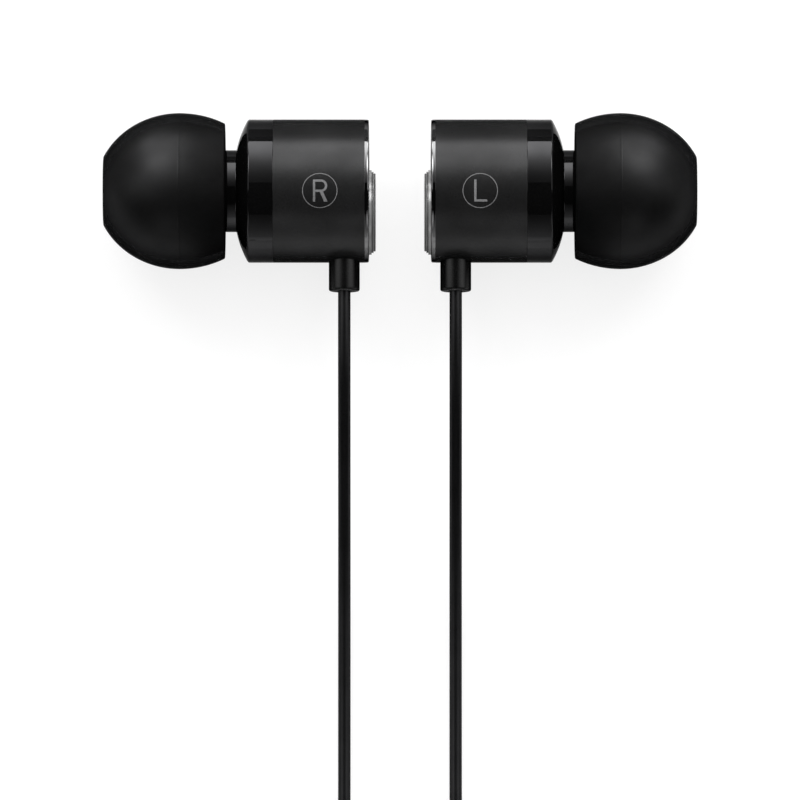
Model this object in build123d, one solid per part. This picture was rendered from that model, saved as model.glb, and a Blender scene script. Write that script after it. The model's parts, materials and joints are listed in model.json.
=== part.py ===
from build123d import *
import math
import os

# Wired in-ear earphones with an inline remote, a splitter and a 3.5 mm four-contact plug.
# Millimetres. +Z is up and Z = 0 is the table they lie on. X runs along the two earbuds' common axis line,
# right earbud at -X and left earbud at +X. Y = 0 is that line, and the cords leave towards -Y.
os.makedirs("parts", exist_ok=True)

# ---------------------------------------------------------------- earbud shell
shell_radius = 5.98
shell_wall = 0.5
sleeve_length = 7.63
rim_chamfer = 0.35
cap_spigot_length = 1.3
cap_thickness = 0.9
rear_dome_height = 0.08
glue_clearance = 0.02
front_ring_length = 2.04
front_edge_chamfer = 0.12
shoulder_length = 1.02
shoulder_bulge = 0.1
front_spigot_length = 1.5
front_spigot_wall = 0.42

# ---------------------------------------------------------------- eccentric rear disc
disc_radius = 3.56
disc_height = 0.5
disc_offset = 1.8
disc_steps = 3
disc_step_inset = 0.12
disc_seat_depth = 0.25
disc_groove = 0.05
disc_dish_depth = 0.06

# ---------------------------------------------------------------- nozzle
neck_radius = 3.42
neck_length = 2.08
nozzle_radius = 2.35
nozzle_length = 5.0
nozzle_bore_radius = 1.55
barb_height = 0.2
barb_length = 1.1
mesh_radius = 1.95
mesh_thickness = 0.12
mesh_recess = 0.35
damper_thickness = 0.8

# ---------------------------------------------------------------- ear tip
tip_radius = 6.53
tip_rear_length = 3.81
tip_front_length = 6.38
tip_rear_semi_axis = 7.6
tip_front_semi_axis = 7.08
tip_skirt_wall = 0.6
tip_stem_wall = 0.6
tip_web = 2.65
tip_mouth_radius = 2.0
tip_lip_radius = 0.15
tip_rim_band = 0.01
tip_clearance = 0.06
tip_gap = 0.96
tip_stem_gap = 0.15

# ---------------------------------------------------------------- driver
driver_height = 2.1
driver_clearance = 0.04
frame_floor = 0.4
frame_wall = 0.7
diaphragm_seat_width = 0.45
diaphragm_seat_depth = 0.35
diaphragm_thickness = 0.08
diaphragm_dome_height = 0.5
surround_height = 0.35
gasket_thickness = 0.3
gasket_width = 0.6
magnet_radius = 1.55
magnet_height = 1.2
pole_plate_height = 0.4
coil_gap = 0.15
voice_coil_wall = 0.2
voice_coil_height = 1.3
yoke_wall = 0.5
vent_radius = 0.3
vent_count = 6
terminal_size = (2.2, 1.2, 0.35)

# ---------------------------------------------------------------- cords and strain relief
branch_diameter = 1.04
main_diameter = 1.8
relief_radius = 1.29
relief_drop = 2.43
relief_position = 2.125
relief_flange_radius = 1.7
relief_flange_thickness = 0.55
relief_flange_inset = 0.33
relief_clearance = 0.03
relief_edge = 0.15
cord_clearance = 0.02
knot_radius = 0.95

# ---------------------------------------------------------------- remote
remote_x = -17.0
remote_y = -119.0
remote_length = 32.0
remote_width = 6.8
remote_thickness = 5.5
remote_wall = 0.8
remote_edge = 1.2
remote_lip_height = 0.5
remote_lip_wall = 0.35
remote_lip_clearance = 0.05
button_pitch = 7.2
button_length = 5.2
button_width = 3.4
play_button_radius = 1.95
button_rise = 0.35
button_clearance = 0.12
button_flange = 0.35
button_flange_thickness = 0.5
button_flange_gap = 0.1
plunger_radius = 0.8
plunger_length = 0.3
button_travel = 0.25
dome_radius = 1.6
dome_height = 0.2
dome_gap = 0.05
board_thickness = 0.7
board_length = 27.0
board_clearance = 0.1
board_post_offset = 6.0
board_post_radius = 0.8
microphone_size = (2.6, 3.2, 1.1)
microphone_offset = -10.3
microphone_port_radius = 0.4
remote_boot_length = 3.0
remote_boot_radius = 1.45
remote_boot_neck_radius = 0.95
remote_boot_flange_radius = 1.25
remote_boot_flange_thickness = 0.5
remote_boot_flange_seat = 0.45

# ---------------------------------------------------------------- splitter
splitter_x = -5.5
splitter_branch_end = -117.0
splitter_length = 8.5
splitter_width = 5.0
splitter_height = 4.2
splitter_edge = 0.8
splitter_side_flat = 0.02
splitter_inlet_spacing = 1.7
splitter_boot_length = 3.5
splitter_boot_radius = 1.9
boot_cover = 0.35

# ---------------------------------------------------------------- plug
plug_x = 19.5
plug_cord_end = -108.5
plug_boot_length = 8.0
plug_boot_root_radius = 2.1
plug_boot_ribs = 4
plug_boot_groove = 0.25
plug_grip_length = 19.0
plug_grip_radius = 2.8
plug_grip_edge = 0.5
plug_collar_length = 1.0
plug_collar_radius = 2.1
pin_radius = 1.75
pin_length = 14.0
pin_core_radius = 0.5
pin_insulator_radius = 1.0
pin_band = 0.5
pin_ring_length = 2.2
pin_tip_length = 4.3
pin_shoulder_length = 1.3
pin_waist_station = 1.95
pin_waist_radius = 1.15
pin_bulb_station = 2.65
pin_bulb_radius = 1.65
pin_bulb_length = 0.3
pin_bulb_edge = 0.15
pin_point_radius = 0.55
pin_point_edge = 0.15

# ---------------------------------------------------------------- put-away coils
coil_spacing = 1.0
coil_zone_height = 40.0
coil_zone_clearance = 0.05
branch_coil_centre = (1.5, -128.0)
branch_coil_radius = 7.04
left_coil_turns = 5.5
right_coil_turns = 4.0
branch_layers = 2
main_coil_centre = (0.0, -78.0)
main_coil_radius = 12.4
main_coil_turns = 12.5
main_layers = 4

# Stations along an earbud's axis, from the rear cap's outer plane towards the ear tip.
sleeve_start = rear_dome_height + rim_chamfer
sleeve_end = sleeve_start + sleeve_length
ring_end = sleeve_end + front_ring_length
shoulder_end = ring_end + shoulder_length
nozzle_start = shoulder_end + neck_length
nozzle_end = nozzle_start + nozzle_length
tip_rear = shoulder_end + tip_gap
tip_widest = tip_rear + tip_rear_length
tip_front = tip_widest + tip_front_length
gasket_rear = sleeve_end
driver_rear = gasket_rear - driver_height
shell_bore = shell_radius - shell_wall
spigot_radius = shell_bore - glue_clearance
driver_pocket = spigot_radius - front_spigot_wall
driver_radius = driver_pocket - driver_clearance

# Half of the distance between the two rear caps' outer planes, and the height of the earbuds' axis.
half_spacing = 2.525
axis_height = tip_radius
branch_radius = branch_diameter / 2
main_radius = main_diameter / 2


def turned(*lines):
    """Solid of revolution about Z of a closed profile drawn as (radius, height)."""
    profile = make_face(Plane.XZ * (Curve() + list(lines)))
    return revolve(profile, Axis.Z)


def turned_polygon(*corners):
    """Solid of revolution about Z of a closed polygon of (radius, height) corners."""
    return turned(Polyline(*corners, close=True))


def tube(outer, inner, start, end):
    """Round tube about Z between two heights, or a disc where the inner radius is 0."""
    return turned_polygon((inner, start), (outer, start), (outer, end), (inner, end))


def dome_arc(radius, height, base):
    """Arc of a shallow spherical dome in a profile, from its crown on the axis to its rim."""
    sphere_radius = (radius**2 + height**2) / (2 * height)
    middle_drop = abs(sphere_radius) - math.sqrt(sphere_radius**2 - radius**2 / 4)
    middle_height = base + height - math.copysign(middle_drop, height)
    return ThreePointArc((0, base + height), (radius / 2, middle_height), (radius, base))


def earbud_place(side):
    """Place of an earbud's own frame: its axis points outward, its -Y stays the cord's side."""
    return Plane(origin=(side * half_spacing, 0, axis_height), x_dir=(0, 0, -side), z_dir=(side, 0, 0))


def save(node, *solids):
    """Write one node's solids to its STEP file."""
    shape = solids[0] if len(solids) == 1 else Compound(children=list(solids))
    export_step(shape, f"parts/{node}.step")


# ---------------------------------------------------------------- ear tip and nozzle
def tip_point(radius, semi_axis, angle):
    """Point (radius, height) of the tip's ellipse, at a parameter angle from its widest section."""
    return Vector(radius * math.cos(angle), tip_widest + semi_axis * math.sin(angle))


def tip_curve(radius, semi_axis, end_angle):
    """Smooth elliptical curve from the tip's widest section to a parameter angle."""
    angles = (0, end_angle / 2, end_angle)
    turn = math.copysign(1, end_angle)
    slope = Vector(-radius * math.sin(end_angle), semi_axis * math.cos(end_angle)) * turn
    points = [tip_point(radius, semi_axis, angle) for angle in angles]
    return Spline(*points, tangents=[(0, turn), slope.normalized()])


def ear_tip():
    """Hollow silicone tip: elliptical skirt, web, and a stem that grips the nozzle."""
    outer_rear = tip_curve(tip_radius, tip_rear_semi_axis, -math.asin(tip_rear_length / tip_rear_semi_axis))
    outer_front = tip_curve(tip_radius, tip_front_semi_axis, math.asin(tip_front_length / tip_front_semi_axis))
    hollow_radius = tip_radius - tip_skirt_wall
    hollow_rear_semi_axis = tip_rear_semi_axis - tip_skirt_wall / 2
    hollow_front_semi_axis = tip_front_length - tip_web + tip_skirt_wall
    stem_bore = nozzle_radius + barb_height + tip_clearance
    stem_radius = stem_bore + tip_stem_wall
    stem_rear = nozzle_start + tip_stem_gap
    inner_front_angle = math.acos(stem_radius / hollow_radius)
    inner_front = tip_curve(hollow_radius, hollow_front_semi_axis, inner_front_angle)
    inner_rear = tip_curve(
        hollow_radius, hollow_rear_semi_axis, -math.asin(tip_rear_length / hollow_rear_semi_axis)
    )
    seat = nozzle_end + tip_stem_gap
    front_face = Polyline(outer_front @ 1, (tip_mouth_radius, tip_front))
    bore = Polyline(
        (tip_mouth_radius, tip_front),
        (tip_mouth_radius, seat),
        (stem_bore, seat),
        (stem_bore, stem_rear),
        (stem_radius, stem_rear),
        inner_front @ 1,
    )
    lip = Line(inner_rear @ 1, outer_rear @ 1)
    tip = turned(outer_rear, outer_front, front_face, bore, inner_front, inner_rear, lip)
    rims = tip.edges().filter_by(GeomType.CIRCLE)
    rear_rims = rims.filter_by_position(Axis.Z, tip_rear - tip_rim_band, tip_rear + tip_rim_band)
    front_rims = rims.filter_by_position(Axis.Z, tip_front - tip_rim_band, tip_front + tip_rim_band)
    return fillet(rear_rims + front_rims, tip_lip_radius)


def front_housing():
    """Gloss ring, convex shoulder, neck and barbed nozzle, with the sound path through them."""
    spigot_start = sleeve_end - front_spigot_length
    outer = Polyline(
        (driver_pocket, spigot_start),
        (spigot_radius, spigot_start),
        (spigot_radius, sleeve_end),
        (shell_radius, sleeve_end),
        (shell_radius, ring_end),
        (shell_radius - front_edge_chamfer, ring_end + front_edge_chamfer),
    )
    shoulder = SagittaArc(outer @ 1, (neck_radius, shoulder_end), -shoulder_bulge)
    barb_start = nozzle_end - barb_length
    nozzle = Polyline(
        (neck_radius, shoulder_end),
        (neck_radius, nozzle_start - front_edge_chamfer),
        (neck_radius - front_edge_chamfer, nozzle_start),
        (nozzle_radius, nozzle_start),
        (nozzle_radius, barb_start),
        (nozzle_radius + barb_height, barb_start + barb_height),
        (nozzle_radius + barb_height, barb_start + 2 * barb_height),
        (nozzle_radius, nozzle_end),
        (mesh_radius, nozzle_end),
        (mesh_radius, nozzle_end - mesh_recess),
        (nozzle_bore_radius, nozzle_end - mesh_recess),
    )
    chamber_radius = driver_radius - gasket_width
    ledge = gasket_rear + gasket_thickness
    inside = Polyline(
        (nozzle_bore_radius, nozzle_end - mesh_recess),
        (nozzle_bore_radius, shoulder_end),
        (chamber_radius, ring_end - front_edge_chamfer),
        (chamber_radius, ledge),
        (driver_pocket, ledge),
        (driver_pocket, spigot_start),
    )
    return turned(outer, shoulder, nozzle, inside)


def nozzle_mesh():
    """Round grille at the bottom of the recess in the nozzle's mouth."""
    seat = nozzle_end - mesh_recess
    return tube(mesh_radius - glue_clearance, 0, seat, seat + mesh_thickness)


def nozzle_damper():
    """Foam disc in the sound bore, against the back of the mesh."""
    front = nozzle_end - mesh_recess
    return tube(nozzle_bore_radius, 0, front - damper_thickness, front)


# ---------------------------------------------------------------- driver
yoke_bore = magnet_radius + 2 * coil_gap + voice_coil_wall
yoke_radius = yoke_bore + yoke_wall
yoke_top = driver_rear + frame_floor + magnet_height - yoke_wall
yoke_rear = yoke_top - magnet_height - pole_plate_height - yoke_wall
diaphragm_seat = gasket_rear - diaphragm_seat_depth


def driver_frame():
    """Basket ring with a diaphragm ledge, a vented floor and a solder terminal on its back."""
    basket_bore = driver_radius - frame_wall
    floor_top = driver_rear + frame_floor
    ledge_radius = basket_bore + diaphragm_seat_width
    basket = turned_polygon(
        (yoke_radius, driver_rear),
        (driver_radius, driver_rear),
        (driver_radius, gasket_rear),
        (ledge_radius, gasket_rear),
        (ledge_radius, diaphragm_seat),
        (basket_bore, diaphragm_seat),
        (basket_bore, floor_top),
        (yoke_radius, floor_top),
    )
    vent_circle = (yoke_radius + basket_bore) / 2
    vents = PolarLocations(vent_circle, vent_count) * Cylinder(vent_radius, 3 * frame_floor)
    basket -= [Pos(0, 0, driver_rear) * vent for vent in vents]
    terminal_centre = (0, vent_circle, driver_rear - terminal_size[2] / 2)
    return basket + Pos(*terminal_centre) * Box(*terminal_size)


def diaphragm():
    """Thin dome and rolled surround with a flat rim on the frame's ledge."""
    basket_bore = driver_radius - frame_wall
    rim = basket_bore + diaphragm_seat_width - glue_clearance
    coil_radius = magnet_radius + coil_gap + voice_coil_wall
    top = diaphragm_seat + diaphragm_thickness
    upper_dome = dome_arc(coil_radius, diaphragm_dome_height, top)
    lower_dome = dome_arc(coil_radius, diaphragm_dome_height, diaphragm_seat)
    upper_roll = SagittaArc((coil_radius, top), (basket_bore, top), -surround_height)
    edge = Polyline(
        (basket_bore, top), (rim, top), (rim, diaphragm_seat), (basket_bore, diaphragm_seat)
    )
    lower_roll = SagittaArc((basket_bore, diaphragm_seat), (coil_radius, diaphragm_seat), surround_height)
    middle = Line(lower_dome @ 0, upper_dome @ 0)
    return turned(upper_dome, upper_roll, edge, lower_roll, lower_dome, middle)


def voice_coil():
    """Wound tube that hangs from the diaphragm into the magnetic gap."""
    inner = magnet_radius + coil_gap
    return tube(inner + voice_coil_wall, inner, diaphragm_seat - voice_coil_height, diaphragm_seat)


def yoke():
    """Steel cup that carries the magnet and closes the magnetic circuit."""
    return turned_polygon(
        (0, yoke_rear),
        (yoke_radius, yoke_rear),
        (yoke_radius, yoke_top),
        (yoke_bore, yoke_top),
        (yoke_bore, yoke_rear + yoke_wall),
        (0, yoke_rear + yoke_wall),
    )


def magnet():
    """Disc magnet on the yoke's floor."""
    base = yoke_rear + yoke_wall
    return tube(magnet_radius, 0, base, base + magnet_height)


def pole_plate():
    """Steel disc on the magnet, inside the voice coil."""
    base = yoke_rear + yoke_wall + magnet_height
    return tube(magnet_radius, 0, base, base + pole_plate_height)


def driver_gasket():
    """Foam ring between the driver's front and the front housing's ledge."""
    return tube(driver_radius, driver_radius - gasket_width, gasket_rear, gasket_rear + gasket_thickness)


# ---------------------------------------------------------------- body and rear
def relief_place():
    """Frame of the strain relief: its Z runs out of the body, from the earbud's axis."""
    return Plane(origin=(0, 0, relief_position), x_dir=(1, 0, 0), z_dir=(0, -1, 0))


def side_bore(radius, depth):
    """Cylinder across the body wall on the cord's side, from the axis outwards."""
    return relief_place() * Pos(0, 0, depth / 2) * Cylinder(radius, depth)


def body_sleeve():
    """Metal tube with a round side hole for the strain relief."""
    sleeve = tube(shell_radius, shell_bore, sleeve_start, sleeve_end)
    return sleeve - side_bore(relief_radius + relief_clearance, 2 * shell_radius)


def rear_cap():
    """Chamfered rim and slightly domed face, with a spigot notched round the strain relief."""
    rim_top = rear_dome_height
    face_radius = shell_radius - rim_chamfer
    spigot_end = sleeve_start + cap_spigot_length
    spigot_bore = spigot_radius - shell_wall
    face = dome_arc(face_radius, -rear_dome_height, rim_top)
    outline = Polyline(
        (face_radius, rim_top),
        (shell_radius, sleeve_start),
        (spigot_radius, sleeve_start),
        (spigot_radius, spigot_end),
        (spigot_bore, spigot_end),
        (spigot_bore, cap_thickness),
        (0, cap_thickness),
        (0, 0),
    )
    cap = turned(face, outline)
    cap -= side_bore(relief_flange_radius + relief_clearance, 2 * shell_radius)
    return cap - Pos(0, -disc_offset, 0) * tube(disc_radius + glue_clearance, 0, -disc_height, disc_seat_depth)


def rear_disc():
    """Eccentric disc of stepped, narrowing bands with a shallow dished face."""
    band = disc_height / disc_steps
    corners = [(0, disc_seat_depth), (disc_radius, disc_seat_depth)]
    for step in range(disc_steps):
        radius = disc_radius - step * (disc_step_inset + disc_groove)
        low = -step * band
        corners.append((radius, low))
        corners.append((radius - disc_step_inset, low - band + disc_groove))
        corners.append((radius - disc_step_inset - disc_groove, low - band + disc_groove))
    rim_radius = corners[-1][0]
    corners.append((rim_radius, -disc_height))
    corners.append((rim_radius - disc_step_inset, -disc_height))
    corners.append((rim_radius - 2 * disc_step_inset, disc_dish_depth - disc_height))
    corners.append((0, disc_dish_depth - disc_height))
    return Pos(0, -disc_offset, 0) * turned_polygon(*corners)


relief_end = shell_radius + relief_drop
flange_outer = shell_bore - relief_flange_inset
flange_inner = flange_outer - relief_flange_thickness


def strain_relief():
    """Round bush through the sleeve's side hole, held by a flange inside."""
    bore = branch_radius + cord_clearance
    bush = turned_polygon(
        (bore, flange_inner),
        (relief_flange_radius, flange_inner),
        (relief_flange_radius, flange_outer),
        (relief_radius, flange_outer),
        (relief_radius, relief_end - relief_edge),
        (relief_radius - relief_edge, relief_end),
        (bore, relief_end),
    )
    return relief_place() * bush


def cord_anchor():
    """The cord's end inside the earbud: a stub through the strain relief and a knot behind it."""
    knot_centre = flange_inner - knot_radius
    stub = tube(branch_radius, 0, knot_centre, relief_end)
    return relief_place() * (stub + Pos(0, 0, knot_centre) * Sphere(knot_radius))


def write_earbud(side_name, side):
    """Write every node of one earbud at its place."""
    pieces = {
        "ear_tip": ear_tip(),
        "front_housing": front_housing(),
        "nozzle_mesh": nozzle_mesh(),
        "nozzle_damper": nozzle_damper(),
        "driver_gasket": driver_gasket(),
        "driver_frame": driver_frame(),
        "diaphragm": diaphragm(),
        "voice_coil": voice_coil(),
        "pole_plate": pole_plate(),
        "magnet": magnet(),
        "yoke": yoke(),
        "body_sleeve": body_sleeve(),
        "rear_cap": rear_cap(),
        "rear_disc": rear_disc(),
        "strain_relief": strain_relief(),
        "cord_anchor": cord_anchor(),
    }
    for name, piece in pieces.items():
        save(f"{side_name}_{name}", earbud_place(side) * piece)


# ---------------------------------------------------------------- remote
remote_split = remote_thickness / 2
remote_place = Pos(remote_x, remote_y, 0)
ceiling = remote_thickness - remote_wall
board_top = ceiling - button_flange_gap - button_flange_thickness - plunger_length
board_top -= button_travel + dome_gap + dome_height
board_width = remote_width - 2 * (remote_wall + remote_lip_clearance + remote_lip_wall + board_clearance)


def capsule(length, width, start, end):
    """Upright block with fully rounded ends, long along Y."""
    outline = Rot(0, 0, 90) * SlotOverall(length, width)
    return Pos(0, 0, start) * extrude(outline, end - start)


def remote_end_notches():
    """The holes in the remote's ends that its boots' necks pass through."""
    notch = Rot(90, 0, 0) * Cylinder(remote_boot_neck_radius + remote_lip_clearance, 2 * remote_length)
    return Pos(0, 0, remote_split) * notch


def button_outline(index):
    """Outline of a button: 1 is volume up, 0 is play and -1 is volume down."""
    if index == 0:
        return Circle(play_button_radius)
    return Rot(0, 0, 90) * SlotOverall(button_length, button_width)


def remote_front_shell():
    """Upper moulded half with three button holes."""
    shell = capsule(remote_length, remote_width, remote_split, remote_thickness)
    shell = fillet(shell.faces().sort_by(Axis.Z)[-1].edges(), remote_edge)
    wall = 2 * remote_wall
    shell -= capsule(remote_length - wall, remote_width - wall, remote_split, ceiling)
    for index in (1, 0, -1):
        hole = offset(button_outline(index), button_clearance)
        shell -= Pos(0, index * button_pitch, ceiling) * extrude(hole, 2 * remote_wall)
    return remote_place * (shell - remote_end_notches())


def remote_back_shell():
    """Lower moulded half with a locating lip, a floor for the board and a microphone port."""
    shell = capsule(remote_length, remote_width, 0, remote_split)
    shell = fillet(shell.faces().sort_by(Axis.Z)[0].edges(), remote_edge)
    inset = 2 * (remote_wall + remote_lip_clearance)
    lip_length = remote_length - inset
    lip_width = remote_width - inset
    shell += capsule(lip_length, lip_width, remote_wall, remote_split + remote_lip_height)
    pocket = 2 * remote_lip_wall
    shell -= capsule(lip_length - pocket, lip_width - pocket, remote_wall, remote_thickness)
    port = Cylinder(microphone_port_radius, 3 * remote_wall)
    shell -= Pos(0, microphone_offset, 0) * port
    posts = [Pos(0, y, remote_wall) * board_post() for y in (-board_post_offset, board_post_offset)]
    return remote_place * (shell - remote_end_notches() + posts)


def board_post():
    """Post on the back shell's floor that carries the circuit board."""
    return tube(board_post_radius, 0, 0, board_top - board_thickness - remote_wall)


def remote_circuit_board():
    """Board on the back shell's posts."""
    base = board_top - board_thickness
    return remote_place * capsule(board_length, board_width, base, board_top)


def remote_microphone():
    """Microphone under the board, over its port."""
    height = microphone_size[2]
    centre = board_top - board_thickness - height / 2
    return remote_place * Pos(0, microphone_offset, centre) * Box(*microphone_size)


def remote_switch_domes():
    """Three low metal domes on the board, one under each button."""
    dome = turned(dome_arc(dome_radius, dome_height, 0), Polyline((0, dome_height), (0, 0), (dome_radius, 0)))
    return [remote_place * Pos(0, i * button_pitch, board_top) * dome for i in (1, 0, -1)]


def remote_button(index):
    """Button cap with its retaining flange and plunger."""
    outline = button_outline(index)
    flange_top = ceiling - button_flange_gap
    flange_base = flange_top - button_flange_thickness
    cap_top = remote_thickness + button_rise
    cap = Pos(0, 0, flange_base) * extrude(outline, cap_top - flange_base)
    cap = fillet(cap.faces().sort_by(Axis.Z)[-1].edges(), button_rise * 0.7)
    flange = Pos(0, 0, flange_base) * extrude(offset(outline, button_flange), button_flange_thickness)
    plunger = tube(plunger_radius, 0, flange_base - plunger_length, flange_base)
    return remote_place * Pos(0, index * button_pitch, 0) * (cap + flange + plunger)


def remote_boots():
    """Two soft end boots, each tapered outside, with a neck through the shells and a flange inside."""
    wall = remote_wall + remote_lip_clearance + remote_lip_wall + remote_boot_flange_seat
    flange = wall + remote_boot_flange_thickness
    profile = turned_polygon(
        (0, -flange),
        (remote_boot_flange_radius, -flange),
        (remote_boot_flange_radius, -wall),
        (remote_boot_neck_radius, -wall),
        (remote_boot_neck_radius, 0),
        (remote_boot_radius, 0),
        (branch_radius + boot_cover, remote_boot_length),
        (0, remote_boot_length),
    )
    end = remote_length / 2
    upper = Pos(0, end, remote_split) * Rot(-90, 0, 0) * profile
    lower = Pos(0, -end, remote_split) * Rot(90, 0, 0) * profile
    return [remote_place * upper, remote_place * lower]


def write_remote():
    """Write the remote's nodes."""
    save("remote_front_shell", remote_front_shell())
    save("remote_back_shell", remote_back_shell())
    save("remote_circuit_board", remote_circuit_board())
    save("remote_microphone", remote_microphone())
    save("remote_switch_domes", *remote_switch_domes())
    save("remote_volume_up_button", remote_button(1))
    save("remote_play_button", remote_button(0))
    save("remote_volume_down_button", remote_button(-1))
    save("remote_boots", *remote_boots())


# ---------------------------------------------------------------- splitter
splitter_main_end = splitter_branch_end + splitter_length
splitter_axis_height = splitter_height / 2


def write_splitter():
    """Write the splitter: a rounded oval body and a tapered boot on the main cord's side."""
    outline = RectangleRounded(splitter_width, splitter_height, (splitter_height - splitter_side_flat) / 2)
    middle = (splitter_x, splitter_main_end, splitter_axis_height)
    block = Plane(origin=middle, x_dir=(1, 0, 0), z_dir=(0, -1, 0)) * extrude(outline, splitter_length)
    ends = block.faces().filter_by(Axis.Y)
    save("splitter_body", fillet(ends.edges(), splitter_edge))
    boot = turned_polygon(
        (0, 0),
        (splitter_boot_radius, 0),
        (main_radius + boot_cover, splitter_boot_length),
        (0, splitter_boot_length),
    )
    save("splitter_boot", Pos(*middle) * Rot(-90, 0, 0) * boot)


# ---------------------------------------------------------------- plug
def plug_boot():
    """Tapered boot with ring grooves, thickest at the grip."""
    corners = [(0, 0), (main_radius + boot_cover, 0)]
    pitch = plug_boot_length / (plug_boot_ribs + 1)
    taper = (plug_boot_root_radius - main_radius - boot_cover) / plug_boot_length
    for rib in range(1, plug_boot_ribs + 1):
        start = rib * pitch
        end = start + pitch / 3
        radius = main_radius + boot_cover + taper * start
        corners.append((radius, start))
        corners.append((radius - plug_boot_groove, start))
        corners.append((radius - plug_boot_groove, end))
        corners.append((main_radius + boot_cover + taper * end, end))
    corners.append((plug_boot_root_radius, plug_boot_length))
    corners.append((0, plug_boot_length))
    return turned_polygon(*corners)


def plug_grip():
    """Round grip with softened ends and a front collar round the pin."""
    start = plug_boot_length
    end = start + plug_grip_length
    collar_end = end + plug_collar_length
    hole = pin_insulator_radius
    return turned_polygon(
        (0, start),
        (plug_grip_radius - plug_grip_edge, start),
        (plug_grip_radius, start + plug_grip_edge),
        (plug_grip_radius, end - plug_grip_edge),
        (plug_grip_radius - plug_grip_edge, end),
        (plug_collar_radius, end),
        (plug_collar_radius, collar_end),
        (hole, collar_end),
        (hole, end),
        (0, end),
    )


pin_start = plug_boot_length + plug_grip_length + plug_collar_length
pin_root = pin_start - plug_collar_length
pin_tip_start = pin_start + pin_length - pin_tip_length
ring_starts = [pin_tip_start - (i + 1) * (pin_band + pin_ring_length) for i in range(2)]
sleeve_contact_end = ring_starts[-1] - pin_band


def plug_insulators():
    """One moulded liner round the core with three raised bands between the contacts."""
    corners = [(pin_core_radius, pin_root), (pin_insulator_radius, pin_root)]
    for start in (sleeve_contact_end, ring_starts[0] - pin_band, pin_tip_start - pin_band):
        corners.append((pin_insulator_radius, start))
        corners.append((pin_radius, start))
        corners.append((pin_radius, start + pin_band))
        corners.append((pin_insulator_radius, start + pin_band))
    corners.pop()
    corners.append((pin_core_radius, pin_tip_start))
    return turned_polygon(*corners)


def plug_tip_contact():
    """Pointed tip with its waist, on a core rod that runs back into the grip."""
    end = pin_start + pin_length
    return turned_polygon(
        (0, pin_root),
        (pin_core_radius, pin_root),
        (pin_core_radius, pin_tip_start),
        (pin_radius, pin_tip_start),
        (pin_radius, pin_tip_start + pin_shoulder_length),
        (pin_waist_radius, pin_tip_start + pin_waist_station),
        (pin_bulb_radius, pin_tip_start + pin_bulb_station),
        (pin_bulb_radius - pin_bulb_edge, pin_tip_start + pin_bulb_station + pin_bulb_length),
        (pin_point_radius, end - pin_point_edge),
        (0, end),
    )


def write_plug():
    """Write the plug's nodes, lying on the grip with the pin towards -Y."""
    place = Pos(plug_x, plug_cord_end, plug_grip_radius) * Rot(90, 0, 0)
    save("plug_boot", place * plug_boot())
    save("plug_grip", place * plug_grip())
    save("plug_insulators", place * plug_insulators())
    save("plug_tip_contact", place * plug_tip_contact())
    rings = [tube(pin_radius, pin_insulator_radius, s, s + pin_ring_length) for s in ring_starts]
    save("plug_ring_contacts", *[place * ring for ring in rings])
    sleeve = tube(pin_radius, pin_insulator_radius, pin_start, sleeve_contact_end)
    save("plug_sleeve_contact", place * sleeve)


# ---------------------------------------------------------------- cords
exit_x = half_spacing + relief_position
exit_y = -relief_end
remote_end = remote_length / 2 + remote_boot_length
splitter_inlet = splitter_inlet_spacing / 2
left_coil_top = branch_layers * branch_diameter

right_upper_route = [
    (-exit_x, exit_y, axis_height),
    (-exit_x, -15.0, 6.45),
    (-exit_x, -27.0, 2.3),
    (-exit_x, -43.5, 0.52),
    (-exit_x, -57.5, 0.52),
    (-10.4, -65.3, 0.52),
    (-15.8, -75.0, 0.52),
    (-17.7, -85.5, 0.52),
    (-17.0, -94.0, 2.75),
    (remote_x, remote_y + remote_end, remote_split),
]
right_lower_route = [
    (remote_x, remote_y - remote_end, remote_split),
    (-17.0, -142.4, 2.75),
    (-16.9, -148.6, 0.75),
    (-14.7, -151.9, 0.52),
    (-11.2, -153.1, 0.52),
    (-7.7, -151.9, 0.52),
    (-5.5, -148.7, 0.52),
    (-5.3, -143.8, 0.52),
    (-5.45, -138.2, 1.0),
    (-5.54, -132.9, 2.58),
    (-5.54, -128.0, 2.6),
]
right_tail_route = [
    (-5.54, -128.0, 3.64),
    (-5.5, -124.8, 3.64),
    (splitter_x + splitter_inlet, -120.2, 2.1),
    (splitter_x + splitter_inlet, splitter_branch_end, splitter_axis_height),
]
left_route = [
    (exit_x, exit_y, axis_height),
    (exit_x, -15.0, 6.45),
    (exit_x, -27.0, 2.3),
    (exit_x, -43.5, 0.52),
    (exit_x, -57.5, 0.52),
    (10.5, -65.2, 0.52),
    (15.4, -75.0, 0.52),
    (16.5, -86.0, 0.52),
    (14.0, -97.0, 0.52),
    (10.7, -107.5, 0.52),
    (8.9, -118.0, 0.52),
    (8.54, -128.0, 0.52),
]
left_tail_route = [
    (-5.54, -128.0, 1.56),
    (-5.56, -124.0, 1.56),
    (splitter_x - splitter_inlet, -120.4, 2.1),
    (splitter_x - splitter_inlet, splitter_branch_end, splitter_axis_height),
]
main_lead_route = [
    (splitter_x, splitter_main_end + splitter_boot_length, splitter_axis_height),
    (splitter_x, -100.6, 2.1),
    (-8.0, -94.4, 1.0),
    (-12.1, -86.3, 0.9),
    (-12.4, -78.0, 0.9),
]
main_tail_route = [
    (12.4, -78.0, 6.3),
    (13.0, -85.5, 6.1),
    (15.9, -91.5, 5.2),
    (18.5, -97.6, 3.5),
    (plug_x, -103.6, 2.8),
    (plug_x, plug_cord_end, plug_grip_radius),
]


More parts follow.
